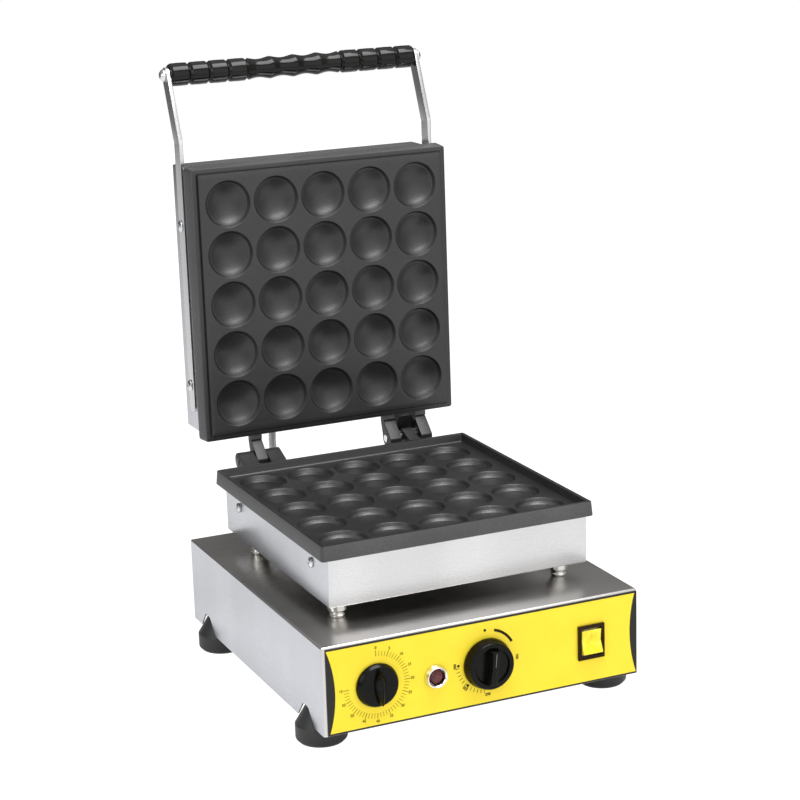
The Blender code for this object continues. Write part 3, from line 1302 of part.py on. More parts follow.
def build_lid_housing():
    item = folded_box(
        "lid_housing",
        (-LID_COVER_WIDTH / 2, LID_COVER_FRONT, LID_COVER_FLOOR),
        (LID_COVER_WIDTH / 2, LID_COVER_REAR, LID_COVER_TOP),
        ("-Z",), STEEL, lid_pivot,
    )
    combine(item, arm_screw_cutter("cover_screw_cutter", SHEET + OVERRUN))
    conduit_hole = cylinder(
        "lid_conduit_cutter", (CONDUIT_X, LID_COVER_REAR - SHEET / 2, CONDUIT_LID_Z), SHEET + 2 * OVERRUN,
        CONDUIT_RADIUS + GAP, None, lid_pivot, FACING_REAR,
    )
    combine(item, conduit_hole)


# Side outline of an arm in (Y, Z): a flat bar bent once, with round ends
def arm_outline():
    half = ARM_WIDTH / 2
    start = (LID_REAR - ARM_END_INSET, ARM_Z)
    bend = (ARM_BEND_Y, ARM_Z)
    end = (HANDLE_Y, HANDLE_Z)
    lean = math.atan2(HANDLE_LIFT, HANDLE_BEYOND_BEND)
    mitre = half * math.tan(lean / 2)
    quarter = math.pi / 2
    outline = arc_points(start, half, -quarter, quarter, ARM_END_STEPS)
    outline.append((bend[0] + mitre, bend[1] + half))
    outline += arc_points(end, half, quarter - lean, 3 * quarter - lean, ARM_END_STEPS)
    outline.append((bend[0] - mitre, bend[1] - half))
    return outline


def build_arms():
    loops = [arm_outline()]
    for centre in ((ARM_SCREW_REAR_Y, ARM_Z), (ARM_SCREW_FRONT_Y, ARM_Z)):
        loops.append(ring_points(SMALL_SIDES, ARM_SCREW_RADIUS + GAP, centre))
    loops.append(ring_points(SMALL_SIDES, ROD_RADIUS + GAP, (HANDLE_Y, HANDLE_Z)))
    middle = (ARM_INNER_X + ARM_OUTER_X) / 2
    for name, side in (("arm_left", -1), ("arm_right", 1)):
        mesh = outline_mesh(name, loops, ARM_THICKNESS)
        add_object(name, mesh, STEEL, lid_pivot, (side * middle, 0, 0), FACING_SIDE)
    length = GAP + ARM_THICKNESS + GAP + SHEET + ARM_SCREW_DEPTH
    for corner, across, along in CORNERS:
        name = f"arm_screw_{corner}"
        mesh = screw_mesh(name, ARM_SCREW_RADIUS, length, ARM_SCREW_HEAD_RADIUS, ARM_SCREW_HEAD_HEIGHT)
        x = across * (ARM_OUTER_X + GAP)
        y = ARM_SCREW_MIDDLE_Y + along * ARM_SCREW_HALF_Y
        add_object(name, mesh, ZINC, lid_pivot, (x, y, ARM_Z), (0, across * math.pi / 2, 0))


# Grip profile from one end to the other: grooved barrels, finger grips,
# grooved barrels
def grip_profile():
    half = GRIP_LENGTH / 2
    finger_pitch = (GRIP_LENGTH - 2 * GRIP_BARRELS * GRIP_BARREL_PITCH) / GRIP_FINGERS
    groove = GRIP_GROOVE_WIDTH / 2
    top = half
    points = [(GRIP_RADIUS - GRIP_GROOVE_DEPTH / 2, half), (GRIP_RADIUS, half - groove)]
    for index in range(1, GRIP_BARRELS + 1):
        centre = top - index * GRIP_BARREL_PITCH
        points += [(GRIP_RADIUS, centre + groove), (GRIP_RADIUS - GRIP_GROOVE_DEPTH, centre)]
        if index < GRIP_BARRELS:
            points.append((GRIP_RADIUS, centre - groove))
    top -= GRIP_BARRELS * GRIP_BARREL_PITCH
    for index in range(GRIP_FINGERS):
        for step in range(1, GRIP_FINGER_STEPS):
            share = step / GRIP_FINGER_STEPS
            height = top - (index + share) * finger_pitch
            points.append((GRIP_RADIUS - GRIP_FINGER_DEPTH * math.sin(math.pi * share), height))
        if index < GRIP_FINGERS - 1:
            points.append((GRIP_RADIUS, top - (index + 1) * finger_pitch))
    points += [(radius, -height) for radius, height in reversed(points[: 3 * GRIP_BARRELS + 1])]
    return points


def build_handle():
    place = (0, HANDLE_Y, HANDLE_Z)
    bore = ROD_RADIUS + GAP
    half = GRIP_LENGTH / 2
    profile = [(bore, half), *grip_profile(), (bore, -half)]
    mesh = turned_mesh("handle_grip", profile, closed=True, sides=SMALL_SIDES)
    add_object("handle_grip", mesh, BLACK, lid_pivot, place, ALONG_X)
    rod_half = ARM_OUTER_X + GAP + NUT_BORE_DEPTH - GAP
    cylinder("handle_rod", place, 2 * rod_half, ROD_RADIUS, ZINC, lid_pivot, ALONG_X, SMALL_SIDES)
    profile = [
        (0, NUT_HEIGHT),
        (NUT_DOME_RADIUS, NUT_HEIGHT * NUT_DOME_SHARE),
        (NUT_RADIUS, NUT_HEIGHT / 3),
        (NUT_RADIUS, 0),
        (bore, 0),
        (bore, NUT_BORE_DEPTH),
        (0, NUT_BORE_DEPTH),
    ]
    for name, side in (("handle_nut_left", -1), ("handle_nut_right", 1)):
        mesh = turned_mesh(name, profile, sides=SMALL_SIDES)
        seat = (side * (ARM_OUTER_X + GAP), HANDLE_Y, HANDLE_Z)
        add_object(name, mesh, ZINC, lid_pivot, seat, (0, side * math.pi / 2, 0))


# Conduit fitting: a ring against the sheet, its bore on the conduit
def fitting_mesh(name):
    bore = CONDUIT_RADIUS + GAP
    profile = [
        (bore, FITTING_LENGTH),
        (FITTING_RADIUS - SHEET, FITTING_LENGTH),
        (FITTING_RADIUS, FITTING_LENGTH - SHEET),
        (FITTING_RADIUS, 0),
        (bore, 0),
    ]
    return turned_mesh(name, profile, closed=True)


def build_conduit():
    swing = Matrix.Rotation(-LID_OPEN, 4, "X")
    pivot = Vector((0, HINGE_Y, HINGE_Z))

    def on_open_lid(y):
        return pivot + swing @ Vector((CONDUIT_X, y, CONDUIT_LID_Z))

    entry = Vector((CONDUIT_X, HEAD_REAR, CONDUIT_Z))
    leave = on_open_lid(LID_COVER_REAR + CONDUIT_STRAIGHT)
    low = (leave + entry) / 2 + Vector((0, CONDUIT_SAG / 2, -CONDUIT_SAG))
    points = (
        leave,
        leave + (leave - on_open_lid(LID_COVER_REAR)) * CONDUIT_LEAVE_SHARE,
        low,
        entry + Vector((0, 2 * CONDUIT_STRAIGHT, 0)),
        entry + Vector((0, CONDUIT_STRAIGHT, 0)),
    )
    route = [on_open_lid(LID_COVER_REAR - SHEET - CONDUIT_INSIDE)]
    route += smooth_route(points, CONDUIT_STEPS)
    route.append(entry - Vector((0, SHEET + CONDUIT_INSIDE, 0)))
    tube("lid_conduit", route, CONDUIT_RADIUS, 2, BRAID, machine_root)
    place = entry + Vector((0, GAP, 0))
    add_object("conduit_fitting_head", fitting_mesh("conduit_fitting_head"), NICKEL, machine_root, place, FACING_REAR)
    place = (CONDUIT_X, LID_COVER_REAR + GAP, CONDUIT_LID_Z)
    add_object("conduit_fitting_lid", fitting_mesh("conduit_fitting_lid"), NICKEL, lid_pivot, place, FACING_REAR)


build_base_housing()
build_bottom_cover()
build_back_panel()
build_feet()
build_fascia()
build_control("timer", TIMER_X, TIMER_Z, TIMER_BODY_WIDTH, TIMER_BODY_HEIGHT, TIMER_BODY_DEPTH)
build_control(
    "thermostat", THERMOSTAT_X, THERMOSTAT_Z,
    THERMOSTAT_BODY_WIDTH, THERMOSTAT_BODY_HEIGHT, THERMOSTAT_BODY_DEPTH,
)
build_timer_knob()
build_thermostat_knob()
build_lamp()
build_switch()
build_terminal_block()
build_supply_loom()
build_thermostat_bulb()
build_standoffs()
build_head_housing()
build_lower_plate()
build_heating_stack("lower", machine_root, lower_face(), -1, HEAD_FLOOR_TOP + GAP)
build_upper_plate()
build_heating_stack("upper", lid_pivot, upper_face(), 1, LID_COVER_TOP - SHEET - GAP)
build_lid_housing()
build_arms()
build_handle()
build_conduit()
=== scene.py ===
import json
import math

import bmesh
import bpy
from mathutils import Matrix, Vector


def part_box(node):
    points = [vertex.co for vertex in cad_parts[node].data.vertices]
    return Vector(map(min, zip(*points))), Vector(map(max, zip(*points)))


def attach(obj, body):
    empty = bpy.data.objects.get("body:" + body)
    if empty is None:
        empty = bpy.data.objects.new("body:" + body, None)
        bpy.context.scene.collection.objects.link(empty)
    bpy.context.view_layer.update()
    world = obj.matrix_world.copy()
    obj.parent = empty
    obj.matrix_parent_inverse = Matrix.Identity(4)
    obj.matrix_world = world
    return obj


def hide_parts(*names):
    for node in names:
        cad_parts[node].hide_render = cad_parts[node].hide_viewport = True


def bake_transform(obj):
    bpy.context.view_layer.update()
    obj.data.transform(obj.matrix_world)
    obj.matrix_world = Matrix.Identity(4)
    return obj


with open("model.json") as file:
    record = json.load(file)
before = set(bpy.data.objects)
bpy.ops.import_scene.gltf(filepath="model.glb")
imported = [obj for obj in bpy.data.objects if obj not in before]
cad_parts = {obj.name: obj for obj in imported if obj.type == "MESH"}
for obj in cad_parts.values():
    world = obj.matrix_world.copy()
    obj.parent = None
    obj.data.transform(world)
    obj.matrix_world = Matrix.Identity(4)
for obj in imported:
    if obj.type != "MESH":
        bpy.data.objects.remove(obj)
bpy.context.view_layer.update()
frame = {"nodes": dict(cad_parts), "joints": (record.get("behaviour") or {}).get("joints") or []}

# Looks of the bubble waffle maker. Lengths are in millimetres, measured from the
# middle of the base on the floor, and turn into metres where a piece is placed.
nodes = frame["nodes"]
lidJoint = next(joint for joint in frame["joints"] if joint["name"] == "lid_hinge")
baseLow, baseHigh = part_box("base_housing")
baseY = (baseLow[1] + baseHigh[1]) / 2


def moved(x=0, y=0, z=0):
    return Matrix.Translation((x, y, z))


def spun(degrees, axis):
    return Matrix.Rotation(math.radians(degrees), 4, axis)


lidSwing = spun(-lidJoint["range_deg"][1], "X")
millimetres = Matrix.Scale(0.001, 4)
machinePlace = moved(0, baseY) @ millimetres
lidPlace = moved(*lidJoint["pos_m"]) @ lidSwing @ millimetres
panelPlace = moved(0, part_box("front_fascia")[0][1]) @ spun(90, "X") @ millimetres
sideways = Matrix(((0, 0, 1, 0), (1, 0, 0, 0), (0, 1, 0, 0), (0, 0, 0, 1)))  # outline XY to YZ


# ---- node helpers: a socket that takes part in Python sums, and the makers of nodes
class Wire:
    def __init__(self, maker, socket):
        self.maker = maker
        self.socket = socket

    def __add__(self, other):
        return self.maker.maths("ADD", self, other)

    def __sub__(self, other):
        return self.maker.maths("SUBTRACT", self, other)

    def __rsub__(self, other):
        return self.maker.maths("SUBTRACT", other, self)

    def __mul__(self, other):
        return self.maker.maths("MULTIPLY", self, other)

    def __truediv__(self, other):
        return self.maker.maths("DIVIDE", self, other)

    __radd__ = __add__
    __rmul__ = __mul__


class Nodes:
    def __init__(self, tree):
        self.tree = tree

    def node(self, kind, values=None, output=0, **settings):
        item = self.tree.nodes.new(kind if kind.startswith("GeometryNode") else "ShaderNode" + kind)
        for key, value in settings.items():
            setattr(item, key, value)
        for key, value in (values or {}).items():
            self.feed(item.inputs[key], value)
        return Wire(self, item.outputs[output])

    def feed(self, socket, value):
        if isinstance(value, Wire):
            self.tree.links.new(value.socket, socket)
        else:
            socket.default_value = value

    def maths(self, operation, *values):
        return self.node("Math", dict(enumerate(values)), operation=operation)

    def vector(self, operation, *values):
        return self.node("VectorMath", dict(enumerate(values)), operation=operation)


class Shading(Nodes):
    def place(self, scale=(1, 1, 1)):
        return self.node("Mapping", {"Vector": self.node("TexCoord", output="Object"), "Scale": scale})

    def axes(self, space="Object"):
        spot = self.node("TexCoord", output=space)
        return [self.node("SeparateXYZ", {0: spot}, output) for output in range(3)]

    def noise(self, scale, detail=2.0, roughness=0.5, vector=None):
        values = {"Vector": vector or self.place(), "Scale": scale, "Detail": detail, "Roughness": roughness}
        return self.node("TexNoise", values)

    def between(self, value, low, high, start=0.0, end=1.0):
        values = {0: value, 1: low, 2: high, 3: start, 4: end}
        return self.node("MapRange", values, interpolation_type="SMOOTHSTEP")

    def blend(self, share, first, second):
        first, second = (item if isinstance(item, Wire) else (*item, 1) for item in (first, second))
        return self.node("Mix", {0: share, 6: first, 7: second}, 2, data_type="RGBA")

    def seen(self, ray):
        return self.node("LightPath", output=f"Is {ray} Ray")


class Finish(Shading):
    def __init__(self, name, colour, **fixed):
        self.material = bpy.data.materials.new(name)
        self.material.use_nodes = True
        super().__init__(self.material.node_tree)
        self.shader = self.tree.nodes["Principled BSDF"]
        self.shader.inputs["Base Color"].default_value = (*colour, 1)
        self.material.diffuse_color = (*colour, 1)
        for socket, value in fixed.items():
            self.drive(socket.replace("_", " "), value)

    def drive(self, socket, value):
        self.feed(self.shader.inputs[socket], value)

    # Colour between two tones by a share, roughness, and a bump from a height
    def surface(self, share, first, second, rough, height, strength, distance):
        self.drive("Base Color", self.blend(share, first, second))
        if rough is not None:
            self.drive("Roughness", rough)
        self.drive("Normal", self.node("Bump", {"Strength": strength, "Distance": distance, "Height": height}))
        return self.material


def scaled(colour, share):
    return [channel * share for channel in colour]


# ---- finishes
steelLook = {"colour": (0.64, 0.64, 0.65), "darker": 0.89, "rough": 0.27, "streaks": 2200, "soft": 7, "bands": 11}


def makeSteel(name, along, rough=0.0, tint=(1, 1, 1)):
    colour = [channel * share for channel, share in zip(steelLook["colour"], tint)]
    steel = Finish(name, colour, Metallic=1.0)
    stretch = [0.006 if axis == along else 1.0 for axis in "XYZ"]
    streaks = steel.noise(steelLook["streaks"], 3, 0.6, steel.place(stretch))
    cloud = steel.noise(steelLook["soft"], 3, 0.55)
    upright = steel.noise(steelLook["bands"], 2, 0.5, steel.place((1, 1, 0.03)))
    shade = steel.between(streaks * 0.12 + cloud * 0.28 + upright * 0.6, 0.38, 0.62)
    rough = steelLook["rough"] + rough + (streaks - 0.5) * 0.10 + (cloud - 0.5) * 0.08
    return steel.surface(shade, scaled(colour, steelLook["darker"]), colour, rough, streaks, 0.016, 0.0002)


def makeCoating(name, colour, rough):
    coat = Finish(name, colour, Metallic=0.0, Specular_IOR_Level=0.55)
    grain = coat.noise(820, 3, 0.65)
    peel = coat.noise(420, 2, 0.5)
    cloud = coat.noise(14, 3, 0.55)
    shade = coat.between(grain * 0.65 + cloud * 0.35, 0.38, 0.66)
    rough = rough + (cloud - 0.5) * 0.10 + (grain - 0.5) * 0.10
    return coat.surface(shade, colour, scaled(colour, 1.7), rough, grain * 0.6 + peel * 0.4, 0.45, 0.0004)


def makeMoulded(name, colour, rough, grain=900, depth=0.06, shine=0.5):
    plastic = Finish(name, colour, Specular_IOR_Level=shine)
    cloud = plastic.noise(30, 3, 0.5)
    lighter = [channel * 1.5 + 0.001 for channel in colour]
    rough = rough + (cloud - 0.5) * 0.12
    share = plastic.between(cloud, 0.35, 0.7)
    return plastic.surface(share, colour, lighter, rough, plastic.noise(grain), depth, 0.0002)


def makePlated(name, colour, rough):
    plate = Finish(name, colour, Metallic=1.0)
    cloud = plate.noise(60, 3, 0.55)
    shade = plate.between(cloud, 0.3, 0.7)
    rough = rough + (cloud - 0.5) * 0.12
    return plate.surface(shade, scaled(colour, 0.78), colour, rough, plate.noise(700), 0.08, 0.0001)


def makeFibre(name, colour, scale):
    board = Finish(name, colour, Roughness=0.95)
    fibres = board.noise(scale, 4, 0.65, board.place((1, 0.25, 1)))
    return board.surface(board.between(fibres, 0.3, 0.7), scaled(colour, 0.7), colour, None, fibres, 0.5, 0.0006)


# The printed film: yellow between three-point arcs, charcoal ends and a thin charcoal border
film = {
    "yellow": (0.95, 0.745, 0.036), "warmer": (0.93, 0.715, 0.028), "charcoal": (0.010, 0.010, 0.009),
    "z": (20.1, 99.4), "border": 1.7, "soft": 0.25, "rough": 0.30,
    "arcs": (((-150.2, 95.6), (-143.7, 57.9), (-149.7, 21.5)), ((151.5, 96.7), (146.7, 61.2), (153.3, 21.4))),
}


def circleThrough(first, second, third):
    (ax, ay), (bx, by), (cx, cy) = first, second, third
    spread = 2 * (ax * (by - cy) + bx * (cy - ay) + cx * (ay - by))
    squares = [x * x + y * y for x, y in (first, second, third)]
    x = (squares[0] * (by - cy) + squares[1] * (cy - ay) + squares[2] * (ay - by)) / spread
    y = (squares[0] * (cx - bx) + squares[1] * (ax - cx) + squares[2] * (bx - ax)) / spread
    return x, y, math.hypot(ax - x, ay - y)


def makeFilm():
    sheet = Finish("fasciaFilm", film["yellow"], Specular_IOR_Level=0.30)
    x, y, z = sheet.axes()
    soft = film["soft"]
    inside = 1.0
    for points in film["arcs"]:
        centreX, centreZ, radius = circleThrough(*points)
        across = x * 1000 - centreX
        up = z * 1000 - centreZ
        reach = sheet.maths("SQRT", across * across + up * up)
        inside = sheet.between(reach, radius - soft, radius + soft) * inside
    low, high = film["z"][0] + film["border"], film["z"][1] - film["border"]
    inside = inside * sheet.between(z * 1000, high - soft, high + soft, 1.0, 0.0)
    inside = inside * sheet.between(z * 1000, low - soft, low + soft)
    cloud = sheet.noise(25)
    warm = sheet.blend(sheet.between(cloud, 0.35, 0.7), film["yellow"], film["warmer"])
    rough = film["rough"] + (cloud - 0.5) * 0.08
    return sheet.surface(inside, film["charcoal"], warm, rough, sheet.noise(1400), 0.03, 0.0001)


def makeLens(name, colour, glow):
    lens = Finish(name, colour, Roughness=0.16, Coat_Weight=0.25, Coat_Roughness=0.05, Specular_IOR_Level=0.4)
    cells = lens.node("TexVoronoi", {"Vector": lens.place(), "Scale": 420.0})
    return lens.surface(lens.between(cells, 0.1, 0.7), glow, colour, None, cells, 0.5, 0.0006)


def makeRocker():
    cap = Finish("rockerCap", (0.96, 0.78, 0.04), Roughness=0.22, Specular_IOR_Level=0.22)
    shade = cap.between(cap.noise(120, 3, 0.6), 0.35, 0.7)
    return cap.surface(shade, (0.90, 0.68, 0.020), (1.0, 0.86, 0.075), None, cap.noise(300), 0.05, 0.0002)


def makeBraid():
    strand = Finish("braidWire", (0.80, 0.80, 0.82), Metallic=0.75)
    lay = strand.node("TexWave", {"Vector": strand.node("UVMap"), "Scale": 6.0}, wave_type="BANDS", bands_direction="Y")
    strand.drive("Base Color", strand.blend(lay, (0.62, 0.63, 0.65), (0.92, 0.93, 0.95)))
    strand.drive("Roughness", 0.34 + strand.noise(900) * 0.2)
    return strand.material


steelAcross = makeSteel("steelAcross", "X")
steelBase = makeSteel("steelBase", "X", 0.02, (1.0, 0.97, 0.92))
# Steel brushed along Y for the shells' sides, whose darker bluish tint is painted shade
steelAlong = makeSteel("steelAlong", "Y", 0.02, (0.89, 0.91, 0.95))
steelArm = makeSteel("steelArm", "Z", -0.04)
castCoating = makeCoating("castCoating", (0.014, 0.014, 0.0145), 0.40)
castTray = makeCoating("castTray", (0.012, 0.012, 0.0125), 0.34)
# Painted highlight: a lighter copy of the coating for the plates' outer walls and edges
castRim = makeCoating("castRim", (0.040, 0.040, 0.041), 0.42)
# Painted shade: a near-black copy of the coating for the cup walls, the lid field's step and the hinges, where shade
# falls
cupEdge = makeCoating("cupEdge", (0.004, 0.004, 0.0036), 0.5)
moulded = makeMoulded("mouldedBlack", (0.0022, 0.0021, 0.0018), 0.16, 900, 0.03, 0.13)
gripBlack = makeMoulded("gripBlack", (0.0030, 0.0030, 0.0027), 0.15, 700, 0.03, 0.24)
switchBlack = makeMoulded("switchBlack", (0.020, 0.010, 0.002), 0.35, 900, 0.04, 0.08)
rubber = makeMoulded("footRubber", (0.017, 0.017, 0.018), 0.52, 1200, 0.2)
nickel = makePlated("nickelPlate", (0.86, 0.85, 0.81), 0.11)
zinc = makePlated("zincPlate", (0.84, 0.85, 0.86), 0.20)
heaterMetal = makePlated("heaterSheath", (0.34, 0.34, 0.35), 0.42)
# The dark finish of the left hinge pin, and painted shade on the side faces of both pins between the lugs
darkPinAndPaintedShade = makePlated("recessDark", (0.10, 0.10, 0.10), 0.4)
redLens = makeLens("redLens", (0.055, 0.003, 0.005), (0.17, 0.006, 0.010))
rockerCap = makeRocker()
filmFinish = makeFilm()
ink = makeMoulded("dialInk", (0.018, 0.014, 0.003), 0.5, shine=0.1)
tickInk = makeMoulded("tickInk", (0.150, 0.132, 0.008), 0.5, shine=0.1)
paleInk = makeMoulded("paleInk", (0.16, 0.16, 0.16), 0.4)
markInk = makeMoulded("markInk", (0.62, 0.50, 0.10), 0.4)
wool = makeFibre("woolBoard", (0.78, 0.76, 0.70), 500)
sleeving = makeFibre("sleeving", (0.66, 0.64, 0.58), 900)
ceramic = makeMoulded("ceramicBlock", (0.74, 0.72, 0.66), 0.3)
copper = makePlated("copperTube", (0.75, 0.36, 0.20), 0.3)
braidWire = makeBraid()
print("finishes made")


# ---- shape helpers
def softened(points, closed=True, steps=4):
    soft = []
    for index, point in enumerate(points):
        here = Vector(point[:2])
        radius = point[2] if len(point) > 2 else 0
        if radius <= 0 or (not closed and index in (0, len(points) - 1)):
            soft.append(here)
            continue
        before = Vector(points[index - 1][:2]) - here
        after = Vector(points[(index + 1) % len(points)][:2]) - here
        half = before.angle(after) / 2
        reach = min(radius / math.tan(half), before.length * 0.49, after.length * 0.49)
        radius = reach * math.tan(half)
        centre = here + (before.normalized() + after.normalized()).normalized() * (radius / math.sin(half))
        start = here + before.normalized() * reach - centre
        end = here + after.normalized() * reach - centre
        soft += [centre + start.lerp(end, step / steps).normalized() * radius for step in range(steps + 1)]
    return [(point.x, point.y) for point in soft]


def arc(centre, radius, start, end, steps):
    turns = [math.radians(start + (end - start) * step / steps) for step in range(steps + 1)]
    return [(centre[0] + radius * math.cos(turn), centre[1] + radius * math.sin(turn)) for turn in turns]


def joinRings(shape, *rings):
    for first, second in zip(rings, rings[1:]):
        for index in range(max(len(first), len(second))):
            ring = [first[index % len(first)], first[(index + 1) % len(first)]]
            ring += [second[(index + 1) % len(second)], second[index % len(second)]]
            corners = list(dict.fromkeys(ring))
            if len(corners) > 2:
                shape.faces.new(corners)


def facingOut(shape):
    bmesh.ops.recalc_face_normals(shape, faces=shape.faces)
    return shape


def softEdges(shape, edges, edge, steps=3, **more):
    bmesh.ops.bevel(shape, geom=edges, offset=edge, segments=steps, profile=0.5, affect="EDGES", **more)


def circleRing(shape, radius, height, sides, start=0.0):
    if radius < 0.01:
        return [shape.verts.new((0, 0, height))]
    turns = [start + math.tau * step / sides for step in range(sides)]
    return [shape.verts.new((radius * math.cos(turn), radius * math.sin(turn), height)) for turn in turns]


# A profile of (radius, height) and sometimes a rounding, turned about Z
def turned(profile, sides=48, closed=False, steps=4):
    shape = bmesh.new()
    rings = [circleRing(shape, radius, height, sides) for radius, height in softened(profile, closed, steps)]
    joinRings(shape, *rings, *(rings[:1] if closed else []))
    return facingOut(shape)


def slab(outline, low, high, edge=0.4, steps=2):
    shape = bmesh.new()
    face = shape.faces.new([shape.verts.new((x, y, low)) for x, y in outline])
    raised = bmesh.ops.extrude_face_region(shape, geom=[face])["geom"]
    rise = [item for item in raised if isinstance(item, bmesh.types.BMVert)]
    bmesh.ops.translate(shape, vec=(0, 0, high - low), verts=rise)
    facingOut(shape)
    if edge:
        rims = [item for item in shape.edges if abs(item.verts[0].co.z - item.verts[1].co.z) < 0.001]
        softEdges(shape, rims, edge, steps, clamp_overlap=True)
    return shape


def softBox(low, high, edge=0.5, steps=3):
    shape = bmesh.new()
    low, high = Vector(low), Vector(high)
    bmesh.ops.create_cube(shape, size=1, matrix=moved(*(high + low) / 2) @ Matrix.Diagonal((*(high - low), 1)))
    if edge:
        softEdges(shape, shape.edges[:], edge, steps)
    return shape


def fromMesh(*meshes):
    whole = bmesh.new()
    for mesh in meshes:
        whole.from_mesh(mesh)
        bpy.data.meshes.remove(mesh)
    return whole


def meshOf(name, shape):
    mesh = bpy.data.meshes.new(name)
    shape.to_mesh(mesh)
    shape.free()
    return mesh


def together(*shapes):
    return fromMesh(*[meshOf("part", shape) for shape in shapes])


def shifted(shape, place):
    shape.transform(place if isinstance(place, Matrix) else moved(*place))
    return shape


def linked(name, data):
    item = bpy.data.objects.new(name, data)
    bpy.context.scene.collection.objects.link(item)
    return item


def looseItem(name, shape):
    return linked(name, meshOf(name, shape))


def bakedMesh(item):
    mesh = bpy.data.meshes.new_from_object(item.evaluated_get(bpy.context.evaluated_depsgraph_get()))
    bpy.data.objects.remove(item, do_unlink=True)
    return mesh


def carved(shape, *tools, operation="DIFFERENCE"):
    item = looseItem("carved", shape)
    cutters = [looseItem("tool", tool) for tool in tools]
    for cutter in cutters:
        step = item.modifiers.new("cut", "BOOLEAN")
        step.operation = operation
        step.solver = "EXACT"
        step.object = cutter
    result = fromMesh(bakedMesh(item))
    for cutter in cutters:
        bpy.data.objects.remove(cutter, do_unlink=True)
    return result


# chosen tells each face's finish: 0 for the first, 1 and up for the others
def addPiece(name, shape, place, finish, body, replaced=(), sharp=38, others=(), chosen=None):
    mesh = shape if isinstance(shape, bpy.types.Mesh) else meshOf(name, shape)
    mesh.name = name
    mesh.materials.clear()
    for material in (finish, *others):
        mesh.materials.append(material)
    for face in mesh.polygons if chosen else ():
        face.material_index = int(chosen(face))
    mesh.transform(place)
    mesh.shade_smooth()
    mesh.set_sharp_from_angle(angle=math.radians(sharp))
    item = linked(name, mesh)
    if body:
        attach(item, body)
    if replaced:
        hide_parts(*replaced)
    return item


# ---- Geometry Nodes helper: a tree with named inputs
class Tree(Nodes):
    def __init__(self, name, **inputs):
        super().__init__(bpy.data.node_groups.new(name, "GeometryNodeTree"))
        panel = self.tree.interface
        panel.new_socket("Geometry", in_out="INPUT", socket_type="NodeSocketGeometry")
        panel.new_socket("Geometry", in_out="OUTPUT", socket_type="NodeSocketGeometry")
        for label, value in inputs.items():
            kind = {int: "Int", float: "Float"}.get(type(value), "Material")
            panel.new_socket(label, in_out="INPUT", socket_type="NodeSocket" + kind)
        self.inputs = inputs
        entry = self.tree.nodes.new("NodeGroupInput")
        self.values = {socket.name: Wire(self, socket) for socket in entry.outputs if socket.name}

    def copies(self, points, instance, **more):
        values = {"Points": points, "Instance": instance, **more}
        return self.node("GeometryNodeInstanceOnPoints", values)

    def spot(self, x=0.0, y=0.0, z=0.0):
        return self.node("CombineXYZ", {0: x, 1: y, 2: z})

    def grow(self, geometry, item):
        whole = self.node("GeometryNodeRealizeInstances", {0: geometry})
        painted = self.node("GeometryNodeSetMaterial", {"Geometry": whole, "Material": self.values["Finish"]})
        self.tree.links.new(painted.socket, self.tree.nodes.new("NodeGroupOutput").inputs[0])
        step = item.modifiers.new("nodes", "NODES")
        step.node_group = self.tree
        for socket in self.tree.interface.items_tree:
            if socket.in_out == "INPUT" and socket.name in self.inputs:
                step[socket.identifier] = self.inputs[socket.name]
        return bakedMesh(item)


def cornerNames(stem):
    return [f"{stem}_{end}_{side}" for end in ("front", "rear") for side in ("left", "right")]


# The same shape at four corners, turned about Z on the left where it points sideways
def atCorners(shape, x, ends, finish, turn=0.0):
    half, centre = (ends[1] - ends[0]) / 2, (ends[0] + ends[1]) / 2
    tree = Tree("fourCorners", HalfX=float(x), HalfY=half, CentreY=centre, Finish=finish)
    index = tree.node("GeometryNodeInputIndex")
    right = tree.maths("MODULO", index, 2.0)
    rear = tree.maths("FLOOR", index / 2.0)
    across = tree.maths("MULTIPLY_ADD", right, 2.0, -1.0) * tree.values["HalfX"]
    along = tree.maths("MULTIPLY_ADD", rear, 2.0, -1.0) * tree.values["HalfY"]
    spot = tree.spot(across, along + tree.values["CentreY"])
    points = tree.node("GeometryNodePoints", {"Count": 4, "Position": spot})
    copies = tree.copies(points, tree.values["Geometry"], Rotation=tree.spot(z=(1.0 - right) * turn))
    return tree.grow(copies, looseItem("corner", shape))


# ---- base shell, folded from one sheet
baseShell = {"x": 155.0, "y": (-168.5, 168.5), "z": (19.5, 101.3), "bend": 1.9}
baseCut = {"inset": 13.2, "rise": 12, "deep": 6}
notch = {"y": 127.0, "half": 19.4, "shoulderHalf": 7.8, "shoulder": 13.2, "height": 15.5, "reach": 8}
sheetMetal = 1.2


# A box of sheet metal, open on one side
def foldedShell(x, y, z, bend, openFace):
    shape = softBox((-x, y[0], z[0]), (x, y[1], z[1]), 0)
    removed = [face for face in shape.faces if face.normal.dot(Vector(openFace)) > 0.9]
    bmesh.ops.delete(shape, geom=removed, context="FACES")
    softEdges(shape, [edge for edge in shape.edges if not edge.is_boundary], bend, 4)
    item = looseItem("shell", shape)
    wall = item.modifiers.new("sheet", "SOLIDIFY")
    wall.thickness = sheetMetal
    wall.offset = -1
    wall.use_even_offset = True
    return fromMesh(bakedMesh(item))


# Side faces take the steel brushed along Y, tinted darker and bluish as painted shade
def addShell(name, shell, place, finish, body, node):
    addPiece(
        name, shell, place, finish, body, [node],
        others=[steelAlong], chosen=lambda face: abs(face.normal.x) > 0.75,
    )


